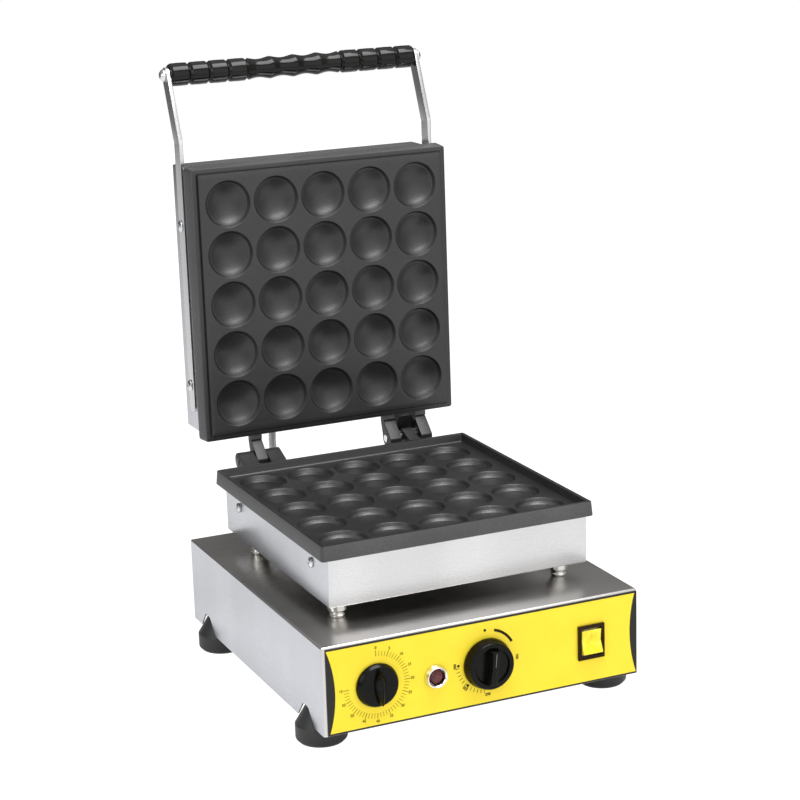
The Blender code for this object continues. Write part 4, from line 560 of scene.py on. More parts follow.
def buildBase():
    shell = foldedShell(**baseShell, openFace=(0, 0, -1))
    x, y, (bottom, top) = baseShell["x"], baseShell["y"][1], baseShell["z"]
    inset, deep = baseCut["inset"], baseCut["deep"]
    window = softBox((inset - x, y - deep, bottom + baseCut["rise"]), (x - inset, y + deep, top - inset), 0)
    half, reach, shoulder = notch["half"], x + notch["reach"], notch["shoulder"]
    outline = [(-half, 0), (-half, -4), (half, -4), (half, 0)]
    for turn in [math.pi * step / 12 for step in range(13)]:
        rise = (notch["height"] - shoulder) * math.sin(turn)
        outline.append((notch["shoulderHalf"] * math.cos(turn), shoulder + rise))
    places = [moved(0, spot, bottom) @ sideways for spot in (-notch["y"], notch["y"])]
    arches = [shifted(slab(outline, -reach, reach, 0), place) for place in places]
    addShell("baseShell", carved(shell, window, *arches), machinePlace, steelBase, "base", "base_housing")


buildBase()
foot = {"x": 141.0, "y": (-127.0, 127.0), "radius": 23.25, "rim": 17.5, "neck": 12.2, "neckTop": 34.5, "top": 38.2}


def buildFeet():
    radius, rim, neck, top = (foot[key] for key in ("radius", "rim", "neck", "top"))
    profile = [
        (0, top), (neck, top, 0.5), (neck, foot["neckTop"], 2), (22.0, rim + 0.4, 1.5), (radius, rim - 1.4, 1.0),
        (radius, 3.2, 2.4), (radius - 3.0, 0, 0.8), (0, 0),
    ]
    mesh = atCorners(turned(profile, 64), foot["x"], foot["y"], rubber)
    addPiece("rubberFeet", mesh, machinePlace, rubber, "base", cornerNames("foot"))


buildFeet()
print("base and feet made")

# ---- head housing on its stand-offs, and the side screws
head = {"x": 128.0, "y": (-125.1, 131.9), "z": (118.1, 161.7), "bend": 1.3}
standoff = {"x": 111.0, "y": (-101.6, 95.9), "foot": 5.8, "cap": 9.5, "height": 16.5}
sideScrew = {"y": (-87.1, 94.9), "z": 149.9, "head": 4.6, "height": 2.8, "slot": 5.6}


def crossedHead(radius, height, domed=0.55, slot=5.0, width=0.95, depth=1.3):
    crown = [(0, height), (radius * 0.55, height * 0.94, 1.5), (radius, height * domed, 0.6)]
    low, high = height - depth, height + 2
    cross = [softBox((-x / 2, -y / 2, low), (x / 2, y / 2, high), 0.15) for x, y in ((slot, width), (width, slot))]
    return shifted(carved(turned([*crown, (radius, 0, 0.15), (0, 0)], 32), *cross), spun(90, "Y"))


def buildHead():
    shell = foldedShell(**head, openFace=(0, 0, 1))
    addShell("headShell", shell, machinePlace, steelAcross, "base", "head_housing")
    height, cap, base = standoff["height"], standoff["cap"], standoff["foot"]
    profile = [
        (0, height), (cap, height, 0.5), (cap, 7.2, 1.6), (base + 1.8, 5.8, 0.8), (base + 1.3, 3.8, 0.6),
        (base + 1.7, 2.4, 0.5), (base + 0.9, 0.3, 0.3), (0, 0.3),
    ]
    mesh = atCorners(turned(profile, 40), standoff["x"], standoff["y"], nickel)
    place = machinePlace @ moved(z=baseShell["z"][1])
    addPiece("standoffs", mesh, place, nickel, "base", cornerNames("standoff"))
    shape = crossedHead(sideScrew["head"], sideScrew["height"], slot=sideScrew["slot"])
    mesh = atCorners(shape, head["x"] + 0.3, sideScrew["y"], zinc, math.pi)
    place = machinePlace @ moved(z=sideScrew["z"])
    addPiece("headScrews", mesh, place, zinc, "base", cornerNames("head_screw"))


buildHead()
print("head made")

# ---- cast plates: a grid of cups inside lofted borders
cup = {
    "pitch": 49.2, "count": 5, "radius": 22.5, "lip": 0.8, "wall": (20.9, -3.4), "dish": (20.1, -3.7), "depth": -11.2,
    "sides": 48, "dishSteps": 8,
}
fieldHalf = cup["count"] * cup["pitch"] / 2
plate = {"x": 133.3, "y": 134.1, "centreY": 7.6, "corner": 2.6, "cornerSteps": 5, "draft": 1.3}
lowerLevels = {"top": 176.0, "tray": 168.0, "wall": 162.3, "rim": 4.5}
lowerBlock = {"low": (-126.4, -123.5, 145.1), "high": (126.4, 130.3, 162.8)}
upperLevels = {"rim": 2.1, "field": -0.9, "back": 19.1, "inset": 5.7}
hinges = {
    "setback": 22.8, "drop": 1.3, "eye": 8.0, "pin": 4.0, "left": -80.5, "right": 80.5, "legHalf": 5.5, "lug": 16.0,
    "gap": 0.5, "rightLug": 6.0, "spread": 17.0, "rightLeg": 12.0, "edge": 0.7, "root": -25.3,
}
pivot = Vector((0, plate["centreY"] + plate["y"] + hinges["setback"], lowerLevels["top"] - hinges["drop"]))


def cupTile():
    shape = bmesh.new()
    half, sides = cup["pitch"] / 2, cup["sides"]
    edge = [Vector((half, -half + cup["pitch"] * step * 4 / sides, 0)) for step in range(sides // 4)]
    rings = [[shape.verts.new(spun(90 * quarter, "Z") @ point) for quarter in range(4) for point in edge]]
    rise = cup["dish"][1] - cup["depth"]
    radius = (cup["dish"][0] ** 2 + rise ** 2) / (2 * rise)
    sweep = math.asin(cup["dish"][0] / radius)
    profile = softened([(24.2, 0), (cup["radius"] + 0.35, 0, cup["lip"]), (*cup["wall"], 0.9), cup["dish"]], False)
    for step in reversed(range(cup["dishSteps"])):
        turn = sweep * step / cup["dishSteps"]
        profile.append((radius * math.sin(turn), cup["depth"] + radius * (1 - math.cos(turn))))
    rings += [circleRing(shape, reach, height, sides, -math.pi / 4) for reach, height in profile]
    joinRings(shape, *rings)
    facingOut(shape)
    if sum(face.normal.z * face.calc_area() for face in shape.faces) < 0:
        bmesh.ops.reverse_faces(shape, faces=shape.faces)
    return shape


def cupField():
    tree = Tree("cupGrid", Across=cup["count"], Pitch=cup["pitch"], Finish=castCoating)
    across = tree.values["Across"]
    side = (across - 1.0) * tree.values["Pitch"]
    values = {"Size X": side, "Size Y": side, "Vertices X": across, "Vertices Y": across}
    copies = tree.copies(tree.node("GeometryNodeMeshGrid", values), tree.values["Geometry"])
    return fromMesh(tree.grow(copies, looseItem("cup", cupTile())))


def plateRing(shape, halfX, halfY, z, corner):
    def rounded(quarter, share):
        signX, signY = ((1, 1), (-1, 1), (-1, -1), (1, -1))[quarter % 4]
        turn = math.radians(90 * (quarter + share))
        x, y = signX * (halfX - corner), signY * (halfY - corner)
        return Vector((x + corner * math.cos(turn), y + corner * math.sin(turn)))

    steps, sideSteps = plate["cornerSteps"], cup["count"] * cup["sides"] // 4
    points = []
    for quarter in range(4):
        points += [rounded(quarter, step / steps) for step in range(steps + 1)]
        start, end = points[-1], rounded(quarter + 1, 0)
        points += [start.lerp(end, step / sideSteps) for step in range(1, sideSteps)]
    return [shape.verts.new((*point, z)) for point in points]


# Steps are (inset from the plate's edge, height); the first is the edge of the cup field
def castPlate(steps, fieldHeight):
    border = bmesh.new()
    rings = [plateRing(border, fieldHalf, fieldHalf, steps[0][1], 0)]
    for inset, height in steps[1:]:
        corner = plate["corner"] - inset
        radius = max(corner, 0.6) if inset > 0 else corner
        rings.append(plateRing(border, plate["x"] - inset, plate["y"] - inset, height, radius))
    joinRings(border, *rings)
    border.faces.new(rings[-1])
    whole = together(shifted(cupField(), (0, 0, fieldHeight)), border)
    bmesh.ops.remove_doubles(whole, verts=whole.verts, dist=0.01)
    return facingOut(whole)


def lugOutline():
    start = [(hinges["root"], -10.0), (hinges["root"], 0.65), (3.5 - hinges["setback"], 0.65, 2.0)]
    return softened(start + arc((0, 0), hinges["eye"], 125, -90, 14))


def legOutline():
    return softened([
        (hinges["root"], 2.9), (-18.6, 2.3, 0.3), (-17.5, 4.0, 0.3), (-16.4, 2.4, 0.4), (-1.8, -12.4, 1.2),
        (2.2, -12.4, 1.2), *arc((0, 0), hinges["eye"], 0, 100, 10), (-16.1, 12.0, 1.0), (hinges["root"], 12.0),
    ])


def webOutline():
    root = hinges["root"]
    lip = arc((0, 0), hinges["eye"] + 0.6, 125, 118, 2)
    tip = (lip[-1][0], lip[-1][1] + 0.6)
    start = [(root, 2.6), (3.0 - hinges["setback"], 2.6, 1.5)]
    return softened([*start, *lip, tip, (-16.1, 11.5, 1.5), (root, 11.5)])


def sideSlab(outline, low, high, edge):
    return shifted(slab(outline, low, high, edge, 3), sideways)


# Castings take the coating, the near-black painted shade and the lighter painted highlight, face by face
def addCasting(name, shapes, place, finish, body, node, look):
    addPiece(name, together(*shapes), place, finish, body, [node], 30, [cupEdge, castRim], look)


def buildLowerPlate(top, tray, wall, rim):
    draft, middle = plate["draft"], plate["centreY"]
    steps = [
        (0, tray), (rim + 1.7, tray), (rim + 1.0, tray + 0.12), (rim + 0.4, tray + 0.6), (rim + 0.1, tray + 1.3),
        (rim - 0.1, top - 1.0), (rim - 0.35, top - 0.3), (rim - 0.9, top), (0.8, top), (0.25, top - 0.25),
        (0, top - 0.8), (-draft, wall + 0.5), (0.5 - draft, wall), (12, wall),
    ]
    shapes = [shifted(castPlate(steps, tray), (0, middle, 0)), softBox(lowerBlock["low"], lowerBlock["high"], 1.0)]
    left, right, lug, wide = (hinges[key] for key in ("left", "right", "lug", "rightLug"))
    inner = hinges["legHalf"] + hinges["gap"]
    spans = (left - inner - lug, left - inner), (left + inner, left + inner + lug), (right - wide, right + wide)
    shapes += [shifted(sideSlab(lugOutline(), *span, hinges["edge"]), pivot) for span in spans]

    # Painted shade on the hinge lugs behind the plate, painted highlight on the outer walls and edges
    def look(face):
        x, y, z = face.center
        outside = abs(x) > plate["x"] - 0.4 or abs(y - middle) > plate["y"] - 0.4
        return 1 if y > middle + plate["y"] + 1.5 else 2 if outside else 0

    addCasting("lowerCasting", shapes, machinePlace, castTray, "base", "lower_plate", look)
    for name, node, x, half, finish in (
        ("hingePinLeft", "hinge_pin_left", left, inner + lug + 0.8, darkPinAndPaintedShade),
        ("hingePinRight", "hinge_pin_right", right, hinges["spread"] + hinges["rightLeg"] / 2 + 0.8, zinc),
    ):
        profile = [(0, half), (hinges["pin"], half, 0.5), (hinges["pin"], -half, 0.5), (0, -half)]
        pin = shifted(turned(profile, 32), moved(x, *pivot[1:]) @ spun(90, "Y"))
        # Each pin's side faces get painted shade; the left pin is dark all over
        addPiece(
            name, pin, machinePlace, finish, "base", [node],
            others=[darkPinAndPaintedShade], chosen=lambda face: abs(face.normal.x) < 0.5,
        )


# Faces of the steep cup walls, which get the painted shade
def onCupWall(face, centreY, level):
    x, y, z = face.center
    y -= centreY
    if max(abs(x), abs(y)) > fieldHalf or not 0.0 < z - level < 3.6 or abs(face.normal.z) > 0.93:
        return False
    near = [(spot / cup["pitch"] + 0.5) % 1 - 0.5 for spot in (x, y)]
    return math.hypot(*near) * cup["pitch"] < cup["radius"] + 0.3


arch = {"wide": 11.6, "high": -13.5, "neck": 9.2, "centre": (0, -13.9), "radius": 8.6, "z": (2.2, 5.0)}
boss = {"x": (-120.3, 104.3), "y": (-81.8, -240.8), "size": (16, 18), "top": 47.1}


def buildUpperPlate(rim, field, back, inset):
    draft, root = plate["draft"], hinges["root"]
    steps = [
        (0, field), (inset + 0.7, field), (inset + 0.2, field + 0.2), (inset, field + 0.7), (inset - 0.1, rim - 0.2),
        (inset - 0.3, rim + 0.5), (inset - 0.8, rim + 0.5), (inset - 1.1, rim), (0.8, rim), (0.25, rim + 0.25),
        (0, rim + 0.8), (-draft, back - 0.5), (0.5 - draft, back), (12, back),
    ]
    # The loft faces up, so it is made with its heights turned over and then flipped
    flipped = castPlate([(step, -height) for step, height in steps], -field)
    centre = -hinges["setback"] - plate["y"]
    shapes = [shifted(flipped, moved(0, centre) @ spun(180, "X"))]
    right, spread, half = hinges["right"], hinges["spread"], hinges["rightLeg"] / 2
    for x, reach in ((hinges["left"], hinges["legHalf"]), (right - spread, half), (right + spread, half)):
        shapes.append(sideSlab(legOutline(), x - reach, x + reach, hinges["edge"]))
    shapes.append(sideSlab(webOutline(), right - spread, right + spread, 0))
    wide, high, neck = arch["wide"], arch["high"], arch["neck"]
    crown = arc(arch["centre"], arch["radius"], 360, 180, 16)
    outline = [(-wide, root), (wide, root), (wide, high), (neck, high), *crown, (-neck, high), (-wide, high)]
    shapes.append(shifted(slab(outline, *arch["z"], 0), (right, 0, 0)))
    for x in boss["x"]:
        for y in boss["y"]:
            shapes.append(softBox((x, y, back - 1), (x + boss["size"][0], y + boss["size"][1], boss["top"]), 1.5))

    # Painted shade on the hinge legs, the field's step and the cup walls, painted highlight on the outer walls and
    # edges
    def look(face):
        x, y, z = face.center
        beyond = abs(x) - plate["x"], abs(y - centre) - plate["y"]
        step = abs(max(beyond) + inset) < 0.6 and field < z < rim + 0.4
        if y > 1.5 - hinges["setback"] or step or onCupWall(face, centre, field):
            return 1
        return 2 if max(beyond) > -0.8 else 0

    addCasting("upperCasting", shapes, lidPlace, castCoating, "lid", "upper_plate", look)


buildLowerPlate(**lowerLevels)
buildUpperPlate(**upperLevels)
print("cast plates made")

# ---- lid cover, arms and handle
lidCover = {"x": 129.0, "y": (-288.4, -25.4), "z": (19.4, 69.1), "bend": 1.6}
arm = {
    "width": 15.0, "thick": 4.0, "inner": 129.3, "z": 39.1, "start": -53.3, "bend": -312.8, "handle": (-375.3, 64.1),
    "screwY": (-231.8, -72.8), "screwHead": 5.5, "screwHeight": 3.0,
}


def armOutline():
    half, z, bend, (endY, endZ) = arm["width"] / 2, arm["z"], arm["bend"], arm["handle"]
    lean = math.degrees(math.atan2(endZ - z, bend - endY))
    mitre = half * math.tan(math.radians(lean / 2))
    outline = [*arc((arm["start"], z), half, -90, 90, 14), (bend + mitre, z + half, 6)]
    outline += [*arc((endY, endZ), half, 90 - lean, 270 - lean, 14), (bend - mitre, z - half, 12)]
    return softened(outline, steps=6)


def buildArms():
    inner, thick = arm["inner"], arm["thick"]
    for name, node, low in (("armLeft", "arm_left", -inner - thick), ("armRight", "arm_right", inner)):
        shape = sideSlab(armOutline(), low, low + thick, 0.45)
        addPiece(name, shape, lidPlace, steelArm, "lid", [node], 30)
    shape = crossedHead(arm["screwHead"], arm["screwHeight"], 0.4, 5.6)
    mesh = atCorners(shape, inner + thick + 0.3, arm["screwY"], zinc, math.pi)
    place = lidPlace @ moved(z=arm["z"])
    addPiece("armScrews", mesh, place, zinc, "lid", cornerNames("arm_screw"))


grip = {
    "half": 128.8, "radius": 11.0, "barrels": 4, "pitch": 19.8, "groove": (2.4, 2.1), "fingers": 4, "waist": 2.1,
    "bore": 4.3,
}


def gripProfile(half, radius, barrels, pitch, groove, fingers, waist, bore):
    halfGroove, depth = groove
    points = [(bore, half), (radius - 1.2, half, 0.6), (radius, half - 2.2, 1.5)]
    for index in range(1, barrels + 1):
        height = half - index * pitch
        points.append((radius + 0.15, height + pitch / 2, 9))
        points += [(radius, height + halfGroove, 0.8), (radius - depth, height, 0.5)]
        if index < barrels:
            points.append((radius, height - halfGroove, 0.8))
    start, steps = half - barrels * pitch, 10
    middle = []
    for step in range(1, steps * fingers):
        hollow = waist * math.sin(math.pi * (step % steps) / steps) ** 1.3
        middle.append((radius - hollow, start - 2 * start * step / (steps * fingers)))
    return points + middle + [(reach, -height, *more) for reach, height, *more in reversed(points)]


def buildHandle():
    place = lidPlace @ moved(0, *arm["handle"]) @ spun(90, "Y")
    shape = turned(gripProfile(**grip), 48, True)
    addPiece("handleGrip", shape, place, gripBlack, "lid", ["handle_grip"], 30)
    profile = [(0, 4.5), (3.2, 4.3, 1.5), (6.0, 1.6, 1.2), (6.0, 0, 0.3), (0, 0)]
    for name, node, side in (("handleNutLeft", "handle_nut_left", -1), ("handleNutRight", "handle_nut_right", 1)):
        seat = moved(side * (arm["inner"] + arm["thick"] + 0.3), *arm["handle"])
        place = lidPlace @ seat @ spun(side * 90, "Y")
        addPiece(name, turned(profile, 40, steps=5), place, zinc, "lid", [node])


addShell("lidCover", foldedShell(**lidCover, openFace=(0, 0, -1)), lidPlace, steelAcross, "lid", "lid_housing")
buildArms()
buildHandle()
print("lid made")

# ---- knobs, lamp and switch; on the panel X is across, Y is up and Z comes out of it
timer = {
    "x": -104.7, "z": 59.0, "radius": 20.2, "top": 17.8, "height": 5.5, "halfWidth": 5.8, "rise": 0.8,
    "levels": (
        (-1, 1.0, 1.0), (1.0, 0.90, 1.0), (4.0, 0.58, 0.97), (7.0, 0.32, 0.92), (8.1, 0.22, 0.86), (8.5, 0.10, 0.82),
    ),
}
thermostat = {
    "x": 2.0, "z": 58.7, "radius": 23.7, "top": 21.2, "height": 10.5, "disc": 16.5, "sunk": 2.5, "grip": 8.5,
    "halfWidth": 4.0, "crest": 3.2, "turn": -6.0, "rise": 0.8,
}
knobBore = {"recess": 9.5, "depth": 3.2}


def onPanel(facts, rise=0.0):
    return panelPlace @ moved(facts["x"], facts["z"], rise)


# Rings joined in turn and closed at their ends
def capped(shape, *rings):
    joinRings(shape, *rings)
    for ring in (rings[0], rings[-1]):
        if len(ring) > 1:
            shape.faces.new(ring)
    return facingOut(shape)


# A mound with a boat-shaped plan: round at one end and pointed at the other
def gripMound(half, reach, height, levels, steps=14):
    shape = bmesh.new()
    shares = [step / steps for step in range(steps + 1)]
    wides = [half * math.sin(math.pi * share ** 0.85) ** (0.95 - 0.4 * share) for share in shares]
    side = [(wide, reach * (1 - 2 * share)) for wide, share in zip(wides, shares)]
    plan = side + [(-x, y) for x, y in reversed(side[1:-1])]
    return capped(shape, *[
        [shape.verts.new((x * wide, y * long, height + rise)) for x, y in plan] for rise, wide, long in levels
    ])


def addKnob(name, disc, shape, place, body, node):
    addPiece(name, together(disc, shape), place, moulded, body, [node], 32)


def buildTimerKnob():
    radius, top, height = timer["radius"], timer["top"], timer["height"]
    recess, depth = knobBore["recess"], knobBore["depth"]
    disc = turned([
        (0, height), (top, height, 1.6), (radius - 0.5, 2.0, 1.6), (radius, 0, 0.4), (recess, 0), (recess, depth),
        (0, depth),
    ], 72)
    wedge = gripMound(timer["halfWidth"], top * 0.94, height, timer["levels"])
    addKnob("timerKnob", disc, wedge, onPanel(timer, timer["rise"]), "timer_dial", "timer_knob")


def buildThermostatKnob():
    radius, top, height, disc = (thermostat[key] for key in ("radius", "top", "height", "disc"))
    half, crest, reach = thermostat["halfWidth"], thermostat["crest"], disc * 0.98
    recess, depth, floor = knobBore["recess"], knobBore["depth"], height - thermostat["sunk"]
    body = turned([
        (0, floor), (disc - 0.6, floor, 0.8), (disc + 0.4, height, 0.6), (top, height, 1.6), (radius - 0.4, 3.0, 1.5),
        (radius, 0, 0.5), (recess, 0), (recess, depth), (0, depth),
    ], 80)
    bar = bmesh.new()
    crown = floor + thermostat["grip"]

    def waisted(near, waist, far, start, end, level):
        plan = (-near, start), (near, start), (waist, 0), (far, end), (-far, end), (-waist, 0)
        return [bar.verts.new((x, y, level)) for x, y in plan]

    lower = waisted(half * 1.25, half, half * 1.5, -reach, reach * 0.97, floor - 1)
    capped(bar, lower, waisted(crest, crest * 0.92, crest, -reach * 0.93, reach * 0.93, crown))
    softEdges(bar, bar.edges[:], 0.5, clamp_overlap=True)
    place = onPanel(thermostat, thermostat["rise"]) @ spun(thermostat["turn"], "Z")
    addKnob("thermostatKnob", body, bar, place, "thermostat_dial", "thermostat_knob")
    line = softBox((-0.22, reach * 0.10, crown - 0.2), (0.22, reach * 0.86, crown + 0.1), 0.04, 1)
    addPiece("thermostatPointer", line, place, paleInk, "thermostat_dial")


lamp = {"x": -48.5, "z": 56.0, "radius": 11.0, "lens": 7.4, "proud": 5.0, "lensProud": 3.4, "neck": 9.0, "facets": 12}


def buildLamp():
    radius, lens, proud, neck = (lamp[key] for key in ("radius", "lens", "proud", "neck"))
    crown, facets = lamp["lensProud"], lamp["facets"]
    bezel = turned([
        (lens + 0.3, -3), (lens + 0.3, proud - 1.2, 0.4), (lens + 1.2, proud, 0.5), (radius - 1.5, proud, 0.8),
        (radius, 1.2, 0.5), (radius, 0.3, 0.3), (neck, 0.3), (neck, -24), (0, -24), (0, -3),
    ], 64, True)
    addPiece("lampBezel", bezel, onPanel(lamp), nickel, "base", ["lamp_housing"])
    shape = bmesh.new()
    levels = (lens, -2.6, 0), (lens, 1.0, 0), (5.4, 2.8, 0.5), (2.6, crown, 0), (0, crown, 0)
    capped(shape, *[
        circleRing(shape, reach, height, facets, math.tau * offset / facets) for reach, height, offset in levels
    ])
    addPiece("lampLens", shape, onPanel(lamp), redLens, "base", ["lamp_lens"], 8)


switch = {
    "x": 106.3, "z": 59.7, "half": (13.4, 16.3), "corner": 0.6, "proud": 2.5, "body": (11.5, 14.5), "wall": 1.2,
    "depth": 22.0,
}
rocker = {
    "half": 10.9, "horn": 4.6, "waist": 1.6, "skirt": -1.5, "keel": -7.0, "width": 19.4, "tilt": 10.0, "pivot": 2.4,
}


def buildSwitch():
    (x, y), corner, proud = switch["half"], switch["corner"], switch["proud"]
    bodyX, bodyY = switch["body"]
    innerX, innerY = (half - switch["wall"] for half in switch["body"])
    outline = softened([(-x, -y, corner), (x, -y, corner), (x, y, corner), (-x, y, corner)])
    inside = softBox((-bodyX, -bodyY, -switch["depth"]), (bodyX, bodyY, 1.2), 0.3)
    case = carved(slab(outline, 0.3, proud, 0.4, 3), inside, operation="UNION")
    case = carved(case, softBox((-innerX, -innerY, -9.8), (innerX, innerY, proud + 3), 0.4))
    addPiece("switchCase", case, onPanel(switch), switchBlack, "base", ["switch_housing"], 30)
    reach, horn, skirt, half = rocker["half"], rocker["horn"], rocker["skirt"], rocker["width"] / 2
    outline = softened([
        (-reach, skirt, 0.4), (0, rocker["keel"], 4), (reach, skirt, 0.4), (reach, horn, 0.6), (0, rocker["waist"], 5),
        (-reach, horn, 0.6),
    ], steps=6)
    cap = sideSlab(outline, -half, half, 0.5)
    place = onPanel(switch, proud - rocker["pivot"]) @ spun(-rocker["tilt"], "X")
    addPiece("switchRocker", cap, place, rockerCap, "rocker", ["switch_rocker"], 30)
    mark = softBox((-0.45, reach * 0.42, 2.4), (0.45, reach * 0.70, 3.75), 0.1, 1)
    addPiece("rockerMark", mark, place, markInk, "rocker")


buildTimerKnob()
buildThermostatKnob()
buildLamp()
buildSwitch()
print("controls made")

# ---- printed dials: ticks by Geometry Nodes, numbers as thin raised ink
timerDial = {
    "step": 22.5, "numbers": 13, "label": 34.0, "size": 2.6, "long": (26.3, 31.8), "short": (26.3, 31.0), "minor": 49,
    "line": 0.46,
}
thermostatDial = {
    "centre": (2.0, 61.5), "dot": 28.2, "round": 1.3, "dots": (-3.2, 224, 269), "arc": (15.5, 62.0, 27.9, 2.5),
    "labels": ((94, "100", 29.8), (180, "200", 32.4), (224, "250", 31.5), (269, "300", 31.5)),
    "ticks": (186, 264, 12), "tick": (27.4, 30.8), "size": 2.6, "line": 0.52,
}
inkHeight = 0.06


def tickRing(centre, start, step, count, inner, outer, width):
    angles = {"Start": math.radians(start), "Step": math.radians(step)}
    tree = Tree("dialTicks", Count=count, **angles, Inner=inner, Outer=outer, Width=width, Finish=ink)
    value = tree.values
    turn = tree.node("GeometryNodeInputIndex") * value["Step"] + value["Start"]
    middle = (value["Inner"] + value["Outer"]) * 0.5
    spot = tree.spot(tree.maths("SINE", turn) * middle, tree.maths("COSINE", turn) * middle)
    points = tree.node("GeometryNodePoints", {"Count": value["Count"], "Position": spot})
    size = tree.spot(value["Width"], value["Outer"] - value["Inner"], inkHeight)
    copies = tree.copies(points, tree.node("GeometryNodeMeshCube", {"Size": size}), Rotation=tree.spot(z=turn * -1.0))
    return shifted(fromMesh(tree.grow(copies, looseItem("ticks", bmesh.new()))), (*centre, 0))


def numberShape(text, size, x, y, turn=0.0):
    curve = bpy.data.curves.new("number", "FONT")
    curve.body = text
    curve.size = size * 1.38
    curve.align_x = "CENTER"
    curve.align_y = "CENTER"
    curve.extrude = inkHeight / 2
    curve.offset = size * 0.055
    shape = fromMesh(bakedMesh(linked("number", curve)))
    bmesh.ops.remove_doubles(shape, verts=shape.verts, dist=0.005)
    return shifted(facingOut(shape), moved(x, y) @ spun(turn, "Z"))


def inked(outline):
    return slab(outline, -inkHeight / 2, inkHeight / 2, 0)


def onDial(centre, radius, degrees):
    turn = math.radians(degrees)
    return centre[0] + radius * math.sin(turn), centre[1] + radius * math.cos(turn)


def timerMarks(step, numbers, label, size, long, short, minor, line):
    centre = (timer["x"], timer["z"])
    marks = [tickRing(centre, 0, step, numbers, *long, line * 1.2)]
    marks.append(tickRing(centre, 0, step * (numbers - 1) / (minor - 1), minor, *short, line))
    for index in range(numbers):
        marks.append(numberShape(str(index * 5), size, *onDial(centre, label, index * step)))
    return marks


def thermostatMarks(centre, labels, dot, dots, ticks, tick, size, line, **more):
    first, last, count = ticks
    marks = [tickRing(centre, first, (last - first) / (count - 1), count, *tick, line)]
    for degrees, text, radius in labels:
        marks.append(numberShape(text, size, *onDial(centre, radius, degrees), 0 if degrees == 180 else -degrees))
    marks += [inked(arc(onDial(centre, dot, degrees), more["round"], 0, 345, 23)) for degrees in dots]
    start, end, radius, width = more["arc"]
    outer = arc(centre, radius + width / 2, 90 - start, 90 - end, 24)
    return [*marks, inked(outer + arc(centre, radius - width / 2, 90 - end, 90 - start, 24))]


for name, marks, finish in (
    ("dialPrint", thermostatMarks(**thermostatDial), ink), ("dialMarks", timerMarks(**timerDial), tickInk),
):
    place = panelPlace @ moved(z=inkHeight / 2 + 0.01)
    addPiece(name, together(*marks), place, finish, "base", sharp=20)
print("dials printed")

# ---- braided conduit across the hinge, its fittings and the cable gland
conduit = {
    "x": -53.0, "radius": 3.5, "headZ": 140.2, "lidZ": 32.1, "straight": 12.0, "sag": 34.0, "carriers": 12,
    "turns": 9.0, "strand": 0.9, "lift": 0.28, "inside": 4.2, "core": 2.95, "laid": 3.05, "rings": 220,
}


def curvedRoute(points, steps):
    padded = [2 * points[0] - points[1], *points, 2 * points[-1] - points[-2]]
    route = []
    for before, start, end, after in zip(padded, padded[1:], padded[2:], padded[3:]):
        for step in range(steps):
            share = step / steps
            pull = (end - before) * share + (2 * before - 5 * start + 4 * end - after) * share ** 2
            pull += (3 * start - before - 3 * end + after) * share ** 3
            route.append(start + pull / 2)
    route.append(points[-1])
    return route


def conduitRoute(x, straight, sag, inside):
    def onLid(beyond):
        return pivot + lidSwing @ Vector((x, lidCover["y"][1] + beyond, conduit["lidZ"]))

    entry, ahead = Vector((x, head["y"][1], conduit["headZ"])), Vector((0, straight, 0))
    leave = onLid(straight)
    low = (leave + entry) / 2 + Vector((0, sag / 2, -sag))
    points = [leave, leave + (leave - onLid(0)) * 1.2, low, entry + 2 * ahead, entry + ahead]
    return [onLid(-inside), *curvedRoute(points, 10), entry - Vector((0, inside, 0))]


def conduitCurve(name, route):
    curve = bpy.data.curves.new(name, "CURVE")
    curve.dimensions = "3D"
    curve.twist_mode = "MINIMUM"
    spline = curve.splines.new("POLY")
    spline.points.add(len(route) - 1)
    for point, spot in zip(spline.points, route):
        point.co = (*spot, 1)
    return linked(name, curve)


def braidMesh(route):
    sizes = {"Turns": conduit["turns"], "Radius": conduit["laid"], "Strand": conduit["strand"], "Lift": conduit["lift"]}
    tree = Tree("conduitBraid", Carriers=conduit["carriers"], **sizes, Finish=braidWire)
    value = tree.values
    path = tree.node("GeometryNodeResampleCurve", {"Curve": value["Geometry"], "Count": conduit["rings"]})
    halves, lay = [], math.pi * conduit["carriers"]
    for side, lag in ((1.0, 0.0), (-1.0, math.pi)):
        values = {"Geometry": path, "Amount": value["Carriers"]}
        copies = tree.node("GeometryNodeDuplicateElements", values, domain="SPLINE")
        phase = Wire(tree, copies.socket.node.outputs["Duplicate Index"]) / value["Carriers"]
        along = tree.node("GeometryNodeSplineParameter")
        angle = (along * (value["Turns"] * side) + phase) * math.tau
        weave = along * value["Turns"] * lay + (phase * lay + lag)
        reach = tree.maths("SINE", weave) * value["Lift"] + value["Radius"]
        normal = tree.node("GeometryNodeInputNormal")
        across = tree.vector("CROSS_PRODUCT", tree.node("GeometryNodeInputTangent"), normal)
        offsets = [
            tree.node("VectorMath", {0: vector, 3: tree.maths(kind, angle) * reach}, operation="SCALE")
            for kind, vector in (("COSINE", normal), ("SINE", across))
        ]
        values = {"Geometry": copies, "Offset": tree.vector("ADD", *offsets)}
        halves.append(tree.node("GeometryNodeSetPosition", values))
    both = tree.node("GeometryNodeJoinGeometry", {0: halves[0]})
    tree.feed(both.socket.node.inputs[0], halves[1])
    strand = {"Resolution": 5, "Radius": value["Strand"] * 0.5}
    profile = tree.node("GeometryNodeCurvePrimitiveCircle", strand, mode="RADIUS")
    strands = tree.node("GeometryNodeCurveToMesh", {"Curve": both, "Profile Curve": profile, "Fill Caps": True})
    return tree.grow(strands, conduitCurve("braidPath", route))


